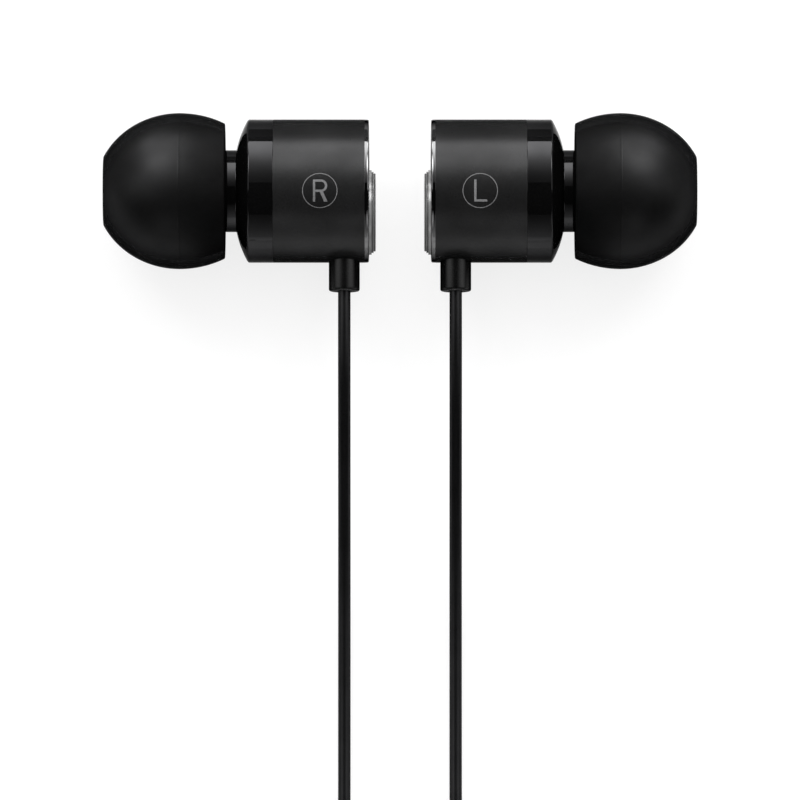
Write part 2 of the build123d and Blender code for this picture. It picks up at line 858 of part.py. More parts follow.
def corner_radii(route):
    """Radius at each inner point: 0.45 of its shorter run over the tangent of half its turn."""
    points = [Vector(*point) for point in route]
    radii = []
    for before, corner, after in zip(points, points[1:], points[2:]):
        arriving = corner - before
        leaving = after - corner
        half_turn = math.radians(arriving.get_angle(leaving)) / 2
        radii.append(0.45 * min(arriving.length, leaving.length) / math.tan(half_turn))
    return radii


def coil(centre, outer_turn_radius, turns, layers, diameter, base):
    """Closed ring of the outer shape of a coil wound outside to inside and back, layer on layer."""
    sweep_width = coil_spacing * diameter * turns / layers
    outer = outer_turn_radius + diameter / 2
    inner = outer_turn_radius - sweep_width - diameter / 2
    height = layers * diameter
    ring = Pos(centre[0], centre[1], base) * tube(outer, inner, 0, height)
    mean_radius = (outer + inner) / 2
    return fillet(ring.edges(), 0.45 * diameter), turns * 2 * math.pi * mean_radius


def coil_zone(centre, outer_turn_radius, diameter):
    """Tall cylinder just clear of a coil's outline, on whatever layer a cord joins it."""
    radius = outer_turn_radius + diameter / 2 + coil_zone_clearance
    return Pos(*centre) * Cylinder(radius, coil_zone_height)


def save_cord(node, route, diameter, zone=None):
    """Write one stretch of cord: straight runs joined by tangent arcs, up to the coil it joins."""
    radii = corner_radii(route)
    path = FilletPolyline(*route, radius=radii)
    section = Plane(origin=path @ 0, z_dir=path % 0) * Circle(diameter / 2)
    cord = sweep(section, path=path)
    expected = math.pi * (diameter / 2) ** 2 * path.length
    in_diameters = ", ".join(f"{radius / diameter:.1f}" for radius in radii)
    print(f"{node}: {path.length:.1f} mm, volume ratio {cord.volume / expected:.4f}, radii {in_diameters}")
    if zone is not None:
        cord -= zone
    save(node, cord)


def write_cords():
    """Write the stretches of cord and the put-away coils."""
    left_ring, left_length = coil(
        branch_coil_centre, branch_coil_radius, left_coil_turns, branch_layers, branch_diameter, 0
    )
    right_ring, right_length = coil(
        branch_coil_centre, branch_coil_radius, right_coil_turns, branch_layers, branch_diameter, left_coil_top
    )
    main_ring, main_length = coil(
        main_coil_centre, main_coil_radius, main_coil_turns, main_layers, main_diameter, 0
    )
    print(f"coils: left {left_length:.0f} mm, right {right_length:.0f} mm, main {main_length:.0f} mm")
    save("left_cord_coil", left_ring)
    save("right_cord_coil", right_ring)
    save("main_cord_coil", main_ring)
    branch_zone = coil_zone(branch_coil_centre, branch_coil_radius, branch_diameter)
    main_zone = coil_zone(main_coil_centre, main_coil_radius, main_diameter)
    save_cord("right_cord_upper", right_upper_route, branch_diameter)
    save_cord("right_cord_lower", right_lower_route, branch_diameter, branch_zone)
    save_cord("right_cord_tail", right_tail_route, branch_diameter, branch_zone)
    save_cord("left_cord", left_route, branch_diameter, branch_zone)
    save_cord("left_cord_tail", left_tail_route, branch_diameter, branch_zone)
    save_cord("main_cord_lead", main_lead_route, main_diameter, main_zone)
    save_cord("main_cord_tail", main_tail_route, main_diameter, main_zone)


write_earbud("right", -1)
write_earbud("left", 1)
write_remote()
write_splitter()
write_plug()
write_cords()
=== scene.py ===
"""Wired in-ear earphones: studio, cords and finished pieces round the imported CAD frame."""

import json
import logging
import math
from dataclasses import dataclass
from enum import Enum
from functools import lru_cache
from typing import Iterable, Iterator, Sequence

import bmesh
import bpy
from mathutils import Matrix, Vector

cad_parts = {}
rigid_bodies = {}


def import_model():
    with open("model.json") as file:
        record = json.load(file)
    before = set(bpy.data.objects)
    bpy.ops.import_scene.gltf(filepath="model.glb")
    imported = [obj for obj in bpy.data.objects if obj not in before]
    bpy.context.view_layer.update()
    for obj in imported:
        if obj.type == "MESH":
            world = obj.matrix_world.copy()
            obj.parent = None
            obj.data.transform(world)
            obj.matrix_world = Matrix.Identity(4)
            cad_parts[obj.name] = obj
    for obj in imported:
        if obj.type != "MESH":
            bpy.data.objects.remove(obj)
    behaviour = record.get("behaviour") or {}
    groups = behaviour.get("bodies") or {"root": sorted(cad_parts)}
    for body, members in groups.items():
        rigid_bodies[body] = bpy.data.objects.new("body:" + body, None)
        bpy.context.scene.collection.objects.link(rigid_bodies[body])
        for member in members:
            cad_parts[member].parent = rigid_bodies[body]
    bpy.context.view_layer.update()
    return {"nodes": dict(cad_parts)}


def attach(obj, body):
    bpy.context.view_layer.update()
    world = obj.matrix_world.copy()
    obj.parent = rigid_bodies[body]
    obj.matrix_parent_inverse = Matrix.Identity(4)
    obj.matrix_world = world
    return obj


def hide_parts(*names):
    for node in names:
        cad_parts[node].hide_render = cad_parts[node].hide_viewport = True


LOG = logging.getLogger("earphones")

MM = 0.001
ROOT = "earphones"
# Edges that bend more than SHARP_ANGLE are shaded sharp, and a softened piece's edges are rounded
# where they bend more than SOFTENED_ANGLE.
SHARP_ANGLE = math.radians(34)
SOFTENED_ANGLE = math.radians(40)
# Vertices nearer than WELD, in metres, are merged, and an outline's point within POLE_RADIUS, in
# millimetres, is a pole.
WELD = 1e-8
POLE_RADIUS = 1e-6
# Share of an outline's side that the rounding at one of its ends may take.
LONGEST_ROUNDING = 0.48
# Most of a noise texture's values lie between these two.
NOISE_LOW = 0.3
NOISE_HIGH = 0.7
MOTTLE_PER_MM = 0.35
MOTTLE_DETAIL = 4.0
COAT_ROUGHNESS = 0.05

Point2 = tuple[float, float]
Point3 = tuple[float, float, float]
# Radius or inset, height, and rounding length of an outline's corner.
Corner = tuple[float, float, float]
Span = tuple[float, float]
Colour = tuple[float, float, float]
Socket = bpy.types.NodeSocket
Node = bpy.types.Node
Piece = bpy.types.Object
Mesh = bpy.types.Mesh
Work = bmesh.types.BMesh
Material = bpy.types.Material


class Side(Enum):
    """The two earbuds, with the sign of X on which each one lies."""

    RIGHT = -1
    LEFT = 1

    @property
    def label(self) -> str:
        """Name of the side as the CAD nodes spell it."""
        return self.name.lower()


# ------------------------------------------------------------------ shader building
class NodeTree:
    """A node tree in the making, with short calls for feeding and linking its nodes."""

    def __init__(self, tree: bpy.types.NodeTree) -> None:
        """Start on a tree.

        Args:
            tree: The tree that takes the nodes.
        """
        self.tree = tree

    def put(self, socket: Socket, value: object) -> None:
        """Link a socket to another one, or set its value.

        Args:
            socket: The input.
            value: The socket to link from, or the value to set.
        """
        if isinstance(value, Socket):
            self.tree.links.new(value, socket)
        elif isinstance(value, tuple) and len(value) == 3 and socket.type == "RGBA":
            socket.default_value = (*value, 1.0)
        else:
            socket.default_value = value

    def put_all(self, sockets: Iterable[Socket], values: Iterable[object]) -> None:
        """Feed sockets in order, leaving those alone that get None."""
        for socket, value in zip(sockets, values):
            if value is not None:
                self.put(socket, value)

    def node(self, kind: str, **settings: object) -> Node:
        """Add a node.

        Args:
            kind: The node's full type name.
            settings: Properties of the node to set.

        Returns:
            The new node.
        """
        node = self.tree.nodes.new(kind)
        for key, value in settings.items():
            setattr(node, key, value)
        return node

    def math(self, operation: str, *values: object) -> Socket:
        """Add a Math node.

        Args:
            operation: Name of the operation.
            values: Sockets or numbers for its inputs, in order.

        Returns:
            The node's output socket.
        """
        node = self.node("ShaderNodeMath", operation=operation)
        self.put_all(node.inputs, values)
        return node.outputs[0]


class Shader(NodeTree):
    """A material's node tree."""

    def __init__(self, name: str) -> None:
        """Start an empty node material.

        Args:
            name: The material's name.
        """
        self.material = bpy.data.materials.new(name)
        self.material.use_nodes = True
        super().__init__(self.material.node_tree)
        self.tree.nodes.clear()
        self.output = self.node("ShaderNodeOutputMaterial")

    def add(self, kind: str, **settings: object) -> Node:
        """Add a node by its type name without ShaderNode, with its properties."""
        return self.node("ShaderNode" + kind, **settings)

    def feed(self, node: Node, **inputs: object) -> Socket:
        """Feed a node's inputs by name, with underscores for spaces.

        Args:
            node: The node whose inputs are fed.
            inputs: A socket to link from, or a value to set, for each input.

        Returns:
            The node's first output.
        """
        for key, value in inputs.items():
            self.put(node.inputs[key.replace("_", " ")], value)
        return node.outputs[0]

    def blend(self, factor: Socket, low: Colour, high: Colour) -> Socket:
        """Blend two colours.

        Args:
            factor: Share of the second colour.
            low: The first colour.
            high: The second colour.

        Returns:
            The colour socket.
        """
        node = self.add("Mix", data_type="RGBA")
        self.put(node.inputs["Factor"], factor)
        self.put_all((socket for socket in node.inputs if socket.type == "RGBA"), (low, high))
        return next(socket for socket in node.outputs if socket.type == "RGBA")

    def mix(self, factor: Socket, first: Socket, second: Socket) -> Socket:
        """Mix two shaders.

        Args:
            factor: Share of the second shader.
            first: The first shader.
            second: The second shader.

        Returns:
            The mixed shader.
        """
        node = self.add("MixShader")
        self.put_all(node.inputs, (factor, first, second))
        return node.outputs[0]

    def felt(self, level: float) -> Socket:
        """Matt grey of one level."""
        return self.feed(self.add("BsdfDiffuse"), Color=(level,) * 3)

    def in_millimetres(
        self, stretch: Point3 = (1.0, 1.0, 1.0), origin: Point3 = (0.0, 0.0, 0.0)
    ) -> Socket:
        """Object coordinates in millimetres, measured from an origin.

        Args:
            stretch: Factor of each axis, below 1 to draw a pattern out along it.
            origin: Point in millimetres that becomes zero.

        Returns:
            A vector socket.
        """
        scale = tuple(factor / MM for factor in stretch)
        shift = tuple(-centre * factor for centre, factor in zip(origin, stretch))
        place = self.add("TexCoord").outputs["Object"]
        return self.feed(self.add("Mapping"), Vector=place, Scale=scale, Location=shift)

    def noise(self, vector: Socket, per_mm: float, detail: float = 3.0) -> Socket:
        """Noise between 0 and 1.

        Args:
            vector: Coordinates in millimetres.
            per_mm: Cells in a millimetre.
            detail: Levels of finer noise.

        Returns:
            The factor socket.
        """
        return self.feed(self.add("TexNoise"), Vector=vector, Scale=per_mm, Detail=detail)

    def between(self, factor: Socket, low: float, high: float) -> Socket:
        """Spread a noise factor evenly between two values.

        Args:
            factor: The noise, mostly between NOISE_LOW and NOISE_HIGH.
            low: Value at the bottom of the noise.
            high: Value at its top.

        Returns:
            The spread value.
        """
        node = self.add("MapRange")
        return self.feed(node, Value=factor, From_Min=NOISE_LOW, From_Max=NOISE_HIGH, To_Min=low, To_Max=high)

    def surface(self, shader: Socket) -> Material:
        """Connect the final shader.

        Args:
            shader: The shader's socket.

        Returns:
            The finished material.
        """
        self.tree.links.new(shader, self.output.inputs["Surface"])
        return self.material


@dataclass(frozen=True)
class Finish:
    """A surface with mottled colour, uneven gloss and a fine grain, sized in millimetres."""

    name: str
    slot: str
    colour: Colour
    roughness: float
    metallic: float = 0.0
    specular: float = 0.5
    edge_tint: float = 1.0
    coat: float = 0.0
    grain_per_mm: float = 9.0
    grain_height: float = 0.002
    colour_spread: float = 0.12
    roughness_spread: float = 0.12
    stretch: Point3 = (1.0, 1.0, 1.0)

    def grain_vector(self, shader: Shader) -> Socket:
        """Coordinates that the grain follows.

        Args:
            shader: The material in the making.

        Returns:
            A vector socket in millimetres.
        """
        return shader.in_millimetres(self.stretch)

    def height(self, shader: Shader, vector: Socket) -> Socket:
        """Height of the grain, between 0 and 1.

        Args:
            shader: The material in the making.
            vector: The grain's coordinates.

        Returns:
            The height socket.
        """
        return shader.noise(vector, self.grain_per_mm)

    @lru_cache(maxsize=None)
    def material(self) -> Material:
        """Build the material once.

        Returns:
            The node material.
        """
        shader = Shader(self.name)
        vector = self.grain_vector(shader)
        grain = self.height(shader, vector)
        mottle = shader.noise(shader.in_millimetres(), MOTTLE_PER_MM, MOTTLE_DETAIL)
        dark = tuple(value * (1.0 - self.colour_spread) for value in self.colour)
        light = tuple(min(1.0, value * (1.0 + self.colour_spread)) for value in self.colour)
        low = self.roughness * (1.0 - self.roughness_spread)
        high = self.roughness * (1.0 + self.roughness_spread)
        bump = shader.feed(shader.add("Bump"), Height=grain, Strength=1.0, Distance=self.grain_height * MM)
        body = shader.feed(
            shader.add("BsdfPrincipled"),
            Base_Color=shader.blend(shader.between(mottle, 0.0, 1.0), dark, light),
            Metallic=self.metallic,
            Roughness=shader.between(grain, low, high),
            Normal=bump,
            Specular_IOR_Level=self.specular,
            Specular_Tint=(self.edge_tint,) * 3,
            Coat_Weight=self.coat,
            Coat_Roughness=COAT_ROUGHNESS,
        )
        return shader.surface(body)


@dataclass(frozen=True)
class TurnedFinish(Finish):
    """Metal cut on a lathe, with fine rings round an axis parallel to X."""

    centre: Point3 = (0.0, 0.0, 6.53)

    def grain_vector(self, shader: Shader) -> Socket:
        """Distance from the lathe's axis, and place along it.

        Args:
            shader: The material in the making.

        Returns:
            A vector socket in millimetres.
        """
        parts = shader.add("SeparateXYZ")
        shader.feed(parts, Vector=shader.in_millimetres(origin=self.centre))
        x, y, z = parts.outputs
        square = shader.math("MULTIPLY_ADD", z, z, shader.math("MULTIPLY", y, y))
        return shader.feed(shader.add("CombineXYZ"), X=shader.math("SQRT", square), Y=x)


@dataclass(frozen=True)
class CellFinish(Finish):
    """Open foam, with rounded cells in place of grain."""

    def height(self, shader: Shader, vector: Socket) -> Socket:
        """Distance to the nearest cell's middle.

        Args:
            shader: The material in the making.
            vector: The grain's coordinates.

        Returns:
            The height socket.
        """
        cells = shader.add("TexVoronoi")
        shader.feed(cells, Vector=vector, Scale=self.grain_per_mm)
        return cells.outputs["Distance"]


class Finishes:
    """Every finish of the earphones."""

    SILICONE = Finish(
        "black_silicone", "silicone", (0.022, 0.022, 0.0224), 0.43, metallic=0.95, specular=0.0,
        edge_tint=0.3, grain_per_mm=14.0, grain_height=0.0012,
    )
    GLOSS = Finish(
        "gloss_black_lacquer", "gloss_black", (0.033, 0.033, 0.034), 0.035, metallic=0.95, specular=0.0,
        edge_tint=0.45, grain_per_mm=2.0, grain_height=0.00002, roughness_spread=0.4,
    )
    SATIN = Finish(
        "satin_black_anodising", "anodised_black", (0.034, 0.034, 0.0345), 0.31, metallic=0.82, specular=0.0,
        edge_tint=0.3, grain_per_mm=30.0, grain_height=0.0004, stretch=(1.0, 0.12, 0.12),
    )
    RIM = TurnedFinish(
        "polished_dark_rim", "polished_metal", (0.17, 0.17, 0.172), 0.04, metallic=1.0, edge_tint=0.15,
        roughness_spread=0.3, grain_per_mm=40.0, grain_height=0.0001,
    )
    DISC = TurnedFinish(
        "turned_silver_disc", "polished_metal", (0.3, 0.3, 0.3), 0.2, metallic=0.3, specular=0.15,
        edge_tint=0.2, grain_per_mm=30.0, grain_height=0.0004, centre=(0.0, -1.8, 6.53),
    )
    SPUN = TurnedFinish(
        "spun_silver_face", "polished_metal", (0.42, 0.42, 0.425), 0.22, metallic=1.0, edge_tint=0.5,
        grain_per_mm=16.0, grain_height=0.009, centre=(0.0, -1.8, 6.53),
    )
    # Near-black matt finish that paints the shade in the rear disc's grooves.
    GROOVE = Finish(
        "groove_black", "polished_metal", (0.01, 0.01, 0.01), 0.6, specular=0.1, grain_per_mm=20.0,
    )
    MARK = Finish(
        "etched_mark", "anodised_black", (0.125, 0.125, 0.127), 0.5, specular=0.3, grain_per_mm=30.0,
        grain_height=0.001,
    )
    RUBBER = Finish(
        "soft_black_rubber", "soft_black", (0.03, 0.03, 0.03), 0.26, metallic=1.0, edge_tint=0.3,
        grain_per_mm=18.0, grain_height=0.0008,
    )
    JACKET = Finish(
        "cord_jacket", "cord_jacket", (0.03, 0.03, 0.031), 0.3, metallic=0.95, specular=0.2, edge_tint=0.3,
        grain_per_mm=22.0, grain_height=0.0008,
    )
    SHELL = Finish(
        "satin_black_plastic", "satin_plastic", (0.011, 0.011, 0.0114), 0.42, specular=0.09,
        grain_per_mm=11.0, grain_height=0.002,
    )
    BUTTON = Finish(
        "button_plastic", "button_plastic", (0.015, 0.015, 0.0155), 0.28, specular=0.17, grain_per_mm=14.0,
        grain_height=0.0012,
    )
    WIRE = Finish(
        "mesh_steel", "mesh_steel", (0.24, 0.24, 0.25), 0.3, metallic=1.0, grain_per_mm=40.0,
        grain_height=0.0005,
    )
    FOAM = CellFinish(
        "damper_foam", "foam", (0.03, 0.03, 0.032), 0.9, specular=0.2, grain_per_mm=6.0, grain_height=0.05,
    )
    MOULDED = Finish("moulded_black_plastic", "black_plastic", (0.018, 0.018, 0.018), 0.45, specular=0.4)
    FILM = Finish("diaphragm_film", "film", (0.5, 0.48, 0.42), 0.22, specular=0.5, coat=0.4, grain_per_mm=3.0)
    COPPER = TurnedFinish(
        "copper_winding", "copper", (0.78, 0.35, 0.17), 0.3, metallic=1.0, grain_per_mm=16.0,
        grain_height=0.006,
    )
    PLATED_STEEL = TurnedFinish(
        "plated_steel", "plated_steel", (0.6, 0.6, 0.58), 0.25, metallic=1.0, grain_per_mm=24.0,
        grain_height=0.001,
    )
    MAGNET = Finish("nickel_magnet", "magnet_metal", (0.5, 0.5, 0.49), 0.22, metallic=1.0, grain_per_mm=5.0)
    BOARD = Finish("board_green", "board_green", (0.02, 0.11, 0.05), 0.35, coat=0.5, grain_per_mm=5.0)
    INSULATOR = Finish(
        "plug_insulator", "insulator", (0.015, 0.015, 0.015), 0.3, specular=0.4, grain_per_mm=10.0,
    )
    SYMBOL = Finish(
        "printed_symbol", "button_plastic", (0.3, 0.3, 0.305), 0.45, specular=0.3, grain_per_mm=30.0,
    )
    CONTACT = Finish(
        "plated_contact", "plated_contact", (0.78, 0.74, 0.66), 0.16, metallic=1.0, grain_per_mm=24.0,
        grain_height=0.0008, stretch=(0.1, 1.0, 0.1),
    )


EARBUD_FINISHES: dict[Finish, Sequence[str]] = {
    Finishes.FOAM: ("nozzle_damper", "driver_gasket"),
    Finishes.MOULDED: ("driver_frame",),
    Finishes.FILM: ("diaphragm",),
    Finishes.COPPER: ("voice_coil",),
    Finishes.PLATED_STEEL: ("pole_plate", "yoke"),
    Finishes.MAGNET: ("magnet",),
    Finishes.JACKET: ("cord_anchor",),
    Finishes.SILICONE: ("ear_tip",),
    Finishes.GLOSS: ("front_housing",),
    Finishes.WIRE: ("nozzle_mesh",),
    Finishes.SATIN: ("body_sleeve",),
    Finishes.RIM: ("rear_cap",),
    Finishes.DISC: ("rear_disc",),
    Finishes.RUBBER: ("strain_relief",),
}

CORD_FINISHES: dict[Finish, Sequence[str]] = {
    Finishes.BOARD: ("remote_circuit_board",),
    Finishes.PLATED_STEEL: ("remote_microphone", "remote_switch_domes"),
    Finishes.SHELL: ("remote_front_shell", "remote_back_shell", "splitter_body", "plug_grip"),
    Finishes.BUTTON: ("remote_volume_up_button", "remote_play_button", "remote_volume_down_button"),
    Finishes.RUBBER: ("remote_boots", "splitter_boot", "plug_boot"),
    Finishes.INSULATOR: ("plug_insulators",),
    Finishes.CONTACT: ("plug_tip_contact", "plug_ring_contacts", "plug_sleeve_contact"),
    Finishes.JACKET: (
        "right_cord_upper", "right_cord_lower", "right_cord_coil", "right_cord_tail",
        "left_cord", "left_cord_coil", "left_cord_tail",
        "main_cord_lead", "main_cord_coil", "main_cord_tail",
    ),
}


# ------------------------------------------------------------------ studio
@dataclass(frozen=True)
class LightCard:
    """A curved card of light that bends round the earphones at one distance."""

    name: str
    bearing: float
    low: float
    high: float
    strengths: Sequence[float]
    distance: float = 0.9
    spans: Sequence[Point2] = ((-0.38, 0.38),)
    columns: int = 24

    def build(self) -> None:
        """Make the card, lit through the range of its height angles and unseen by the camera."""
        turn = Matrix.Rotation(self.bearing, 4, "Z")
        work = bmesh.new()
        layer = work.verts.layers.float.new("lift")
        for span in self.spans:
            rows = []
            for step in range(self.columns + 1):
                share = step / self.columns
                angle = math.radians(self.low + (self.high - self.low) * share)
                along, up = self.distance * math.cos(angle), self.distance * math.sin(angle)
                row = [work.verts.new(turn @ Vector((across, along, up))) for across in span]
                for corner in row:
                    corner[layer] = share
                rows.append(row)
            for lower, upper in zip(rows, rows[1:]):
                work.faces.new((lower[0], upper[0], upper[1], lower[1]))
        card = linked(self.name, mesh_from(work, self.name))
        card.data.materials.append(self.material())
        hide_from(card, "camera", "shadow")

    def material(self) -> Material:
        """Light that changes smoothly from the card's low edge to its high edge.

        Returns:
            The emitting material.
        """
        shader = Shader(self.name)
        ramp = shader.add("ValToRGB")
        ramp.color_ramp.interpolation = "B_SPLINE"
        stops = ramp.color_ramp.elements
        last = len(self.strengths) - 1
        peak = max(self.strengths)
        while len(stops) < len(self.strengths):
            stops.new(0.5)
        for index, strength in enumerate(self.strengths):
            stops[index].position = index / last
            stops[index].color = (strength / peak,) * 3 + (1.0,)
        colour = shader.feed(ramp, Fac=shader.add("Attribute", attribute_name="lift").outputs["Fac"])
        return shader.surface(shader.feed(shader.add("Emission"), Color=colour, Strength=peak))


@dataclass(frozen=True)
class Studio:
    """Floor, lights and camera, in metres."""

    view_width: float = 0.0667
    view_elevation: float = 83.0
    view_middle: Point3 = (0.0, -0.01758, 0.00653)
    lens: float = 600.0
    sensor: float = 36.0
    clip_end: float = 20.0
    floor_radius: float = 6.0
    flat_share: float = 0.8
    floor_steps: int = 10
    floor_segments: int = 64
    wall_height: float = 0.5
    floor_level: float = 0.8
    floor_glow: float = 0.8
    world_level: float = 0.012
    lamp_height: float = 1.7
    lamp_size: float = 1.6
    lamp_power: float = 17.0
    flag_lift: float = 0.0002
    flag_half_width: float = 0.5
    flag_edges: tuple[float, ...] = (-0.026, 0.0, 0.03, 0.88)
    flag_levels: Point3 = (0.6, 0.5, 0.1)
    flag_wall: float = 0.166
    tip_flag_place: float = 0.0139
    tip_flag_reach: Point2 = (-0.04, 0.05)
    tip_flag_heights: Point2 = (0.0005, 0.05)
    tip_flag_gauze: float = 0.1
    tip_flag_level: float = 0.02

    def camera(self) -> None:
        """Place the camera over the earphones, looking down with +Y up the picture."""
        data = bpy.data.cameras.new("camera")
        data.lens = self.lens
        data.sensor_width = self.sensor
        data.dof.use_dof = False
        data.clip_end = self.clip_end
        distance = self.view_width * self.lens / self.sensor
        angle = math.radians(self.view_elevation)
        back = Vector((0.0, -math.cos(angle), math.sin(angle)))
        camera = linked("camera", data)
        camera.location = Vector(self.view_middle) + distance * back
        camera.rotation_mode = "QUATERNION"
        camera.rotation_quaternion = (-back).to_track_quat("-Z", "Y")
        bpy.context.scene.camera = camera

    def floor(self) -> None:
        """Make a round floor whose edge curves up into a low wall."""
        rings = [(self.floor_radius * self.flat_share, 0.0)]
        for step in range(1, self.floor_steps + 1):
            angle = math.pi / 2 * step / self.floor_steps
            reach = self.flat_share + (1.0 - self.flat_share) * math.sin(angle)
            rings.append((self.floor_radius * reach, self.wall_height * (1.0 - math.cos(angle))))
        work = bmesh.new()
        loops = [round_loop(work, radius, height, self.floor_segments) for radius, height in rings]
        work.faces.new(loops[0])
        for lower, upper in zip(loops, loops[1:]):
            bridge(work, lower, upper)
        floor = piece_from(work, "studio_floor")
        floor.data.materials.append(self.floor_material())

    def floor_material(self) -> Material:
        """Pale floor, white where it is seen or mirrored, that keeps a soft shadow.

        Returns:
            The node material.
        """
        shader = Shader("studio_floor")
        rays = shader.add("LightPath").outputs
        seen = shader.math("MAXIMUM", rays["Is Camera Ray"], rays["Is Glossy Ray"])
        seen = shader.math("MAXIMUM", seen, rays["Is Transmission Ray"])
        glowing = shader.add("AddShader")
        glow = shader.feed(shader.add("Emission"), Strength=self.floor_glow)
        shader.put_all(glowing.inputs, (shader.felt(1.0 - self.floor_glow), glow))
        return shader.surface(shader.mix(seen, shader.felt(self.floor_level), glowing.outputs[0]))

    def lamp(self) -> None:
        """Hang the soft lamp overhead."""
        data = bpy.data.lights.new("overhead", "AREA")
        data.shape = "SQUARE"
        data.size = self.lamp_size
        data.energy = self.lamp_power
        lamp = linked("overhead", data)
        lamp.location = (0.0, 0.0, self.lamp_height)
        hide_from(lamp, "glossy", "camera")

    def cards(self) -> None:
        """Hang the light cards: far and near ones, wings beside them, and one at each side."""
        wings = {"distance": 0.86, "spans": ((-0.36, -0.14), (0.14, 0.36))}
        tips = {"distance": 0.84, "spans": ((-0.62, -0.36), (0.36, 0.62))}
        far = (4.3, 4.3, 4.1, 3.5, 2.5, 1.6, 1.05, 0.62, 0.35, 0.2, 0.13)
        near = (0.62, 0.46, 0.33, 0.22, 0.13, 0.07)
        side = (0.08, 0.65, 1.4, 1.55, 1.1, 0.45, 0.04)
        quarter = math.pi / 2
        for card in (
            LightCard("far_card", 0.0, 10.5, 84.0, far),
            LightCard("far_wings", 0.0, 32.0, 68.0, (0.0, 3.5, 7.5, 7.5, 4.0, 0.0), **wings),
            LightCard("tip_wings", 0.0, 28.0, 72.0, (0.0, 7.0, 11.5, 11.0, 6.0, 0.0), **tips),
            LightCard("low_wings", 0.0, 3.0, 24.0, (11.0, 11.0, 7.0, 0.0), **tips),
            LightCard("near_wings", math.pi, 14.0, 50.0, (0.0, 0.6, 1.5, 1.8, 1.2, 0.0), **wings),
            LightCard("near_card", math.pi, 3.0, 44.0, near),
            LightCard("side_card_right", quarter, 8.0, 78.0, side, spans=((-0.06, 0.3),)),
            LightCard("side_card_left", -quarter, 8.0, 78.0, side, spans=((-0.3, 0.06),)),
        ):
            card.build()

    def flags(self) -> None:
        """Lay dark flags beside the earphones and stand one behind each ear tip.

        Only gloss shows them, so they paint darker reflections into the gloss: they aren't seen and throw no
        shadow.
        """
        half = self.flag_half_width
        near, middle, edge, far = ((y, self.flag_lift) for y in self.flag_edges)
        wall = (far[0], self.flag_wall)
        spans = {"near_flag": (near, middle), "edge_flag": (middle, edge), "far_flag": (edge, far, wall)}
        for (name, places), level in zip(spans.items(), self.flag_levels):
            work = bmesh.new()
            rows = [[work.verts.new((x, y, height)) for x in (-half, half)] for y, height in places]
            for first, second in zip(rows, rows[1:]):
                work.faces.new((*first, *second[::-1]))
            shader = Shader(name)
            self.hang(piece_from(work, name), shader.surface(shader.felt(level)))
        for side in Side:
            self.tip_flag(side)

    def tip_flag(self, side: Side) -> None:
        """Stand a dark flag behind an ear tip: a painted dark reflection that hides the lights from the tip's
        inner side alone.

        Args:
            side: The ear tip's side.
        """
        name = f"tip_flag_{side.label}"
        (back, front), (foot, top) = self.tip_flag_reach, self.tip_flag_heights
        work = bmesh.new()
        edges = ((back, foot), (front, foot), (front, top), (back, top))
        corners = [work.verts.new((side.value * self.tip_flag_place, y, z)) for y, z in edges]
        work.faces.new(corners[:: side.value])
        shader = Shader(name)
        behind = shader.add("NewGeometry").outputs["Backfacing"]
        through = shader.math("MAXIMUM", behind, self.tip_flag_gauze)
        clear = shader.add("BsdfTransparent").outputs[0]
        felt = shader.mix(through, shader.felt(self.tip_flag_level), clear)
        self.hang(linked(name, mesh_from(work, name)), shader.surface(felt))

    @staticmethod
    def hang(flag: Piece, material: Material) -> None:
        """Give a flag its felt and keep it for gloss alone.

        Args:
            flag: The flag.
            material: Its felt.
        """
        flag.data.materials.append(material)
        hide_from(flag, "camera", "shadow", "diffuse")

    def build(self) -> None:
        """Set up the whole studio, in a dim room."""
        scene = bpy.context.scene
        scene.view_settings.view_transform = "Standard"
        self.camera()
        self.floor()
        self.lamp()
        self.cards()
        self.flags()
        scene.world = bpy.data.worlds.new("dim_room")
        scene.world.use_nodes = True
        colour = scene.world.node_tree.nodes["Background"].inputs["Color"]
        colour.default_value = (self.world_level,) * 3 + (1.0,)


# ------------------------------------------------------------------ mesh building
def circle_angles(count: int) -> list[float]:
    """Evenly spaced angles round a full turn."""
    return [2.0 * math.pi * index / count for index in range(count)]


def round_loop(
    work: Work, radius: float, height: float, count: int, place: Matrix = Matrix.Identity(4)
) -> list[bmesh.types.BMVert]:
    """Ring of vertices round the height axis.

    Args:
        work: The mesh in the making.
        radius: The ring's radius.
        height: Its height.
        count: Number of vertices.
        place: Matrix that each vertex is moved by.

    Returns:
        The vertices in order.
    """
    turns = circle_angles(count)
    spots = (Vector((radius * math.cos(turn), radius * math.sin(turn), height)) for turn in turns)
    return [work.verts.new(place @ spot) for spot in spots]


def linked(name: str, data: bpy.types.ID) -> Piece:
    """Put new data into the scene as an object.

    Args:
        name: The object's name.
        data: Its mesh, curve, lamp or camera.

    Returns:
        The object, at the origin.
    """
    item = bpy.data.objects.new(name, data)
    bpy.context.scene.collection.objects.link(item)
    return item


def hide_from(item: Piece, *rays: str) -> None:
    """Hide an object from the named kinds of rays."""
    for ray in rays:
        setattr(item, f"visible_{ray}", False)


def mesh_from(work: Work, name: str) -> Mesh:
    """Turn a finished bmesh into a mesh, with its faces as they are.

    Args:
        work: The mesh in the making, which is freed.
        name: The mesh's name.

    Returns:
        The mesh.
    """
    mesh = bpy.data.meshes.new(name)
    work.to_mesh(mesh)
    work.free()
    return mesh


def shade(mesh: Mesh) -> None:
    """Shade a mesh smooth, except at its sharp corners."""
    mesh.polygons.foreach_set("use_smooth", [True] * len(mesh.polygons))
    mesh.set_sharp_from_angle(angle=SHARP_ANGLE)


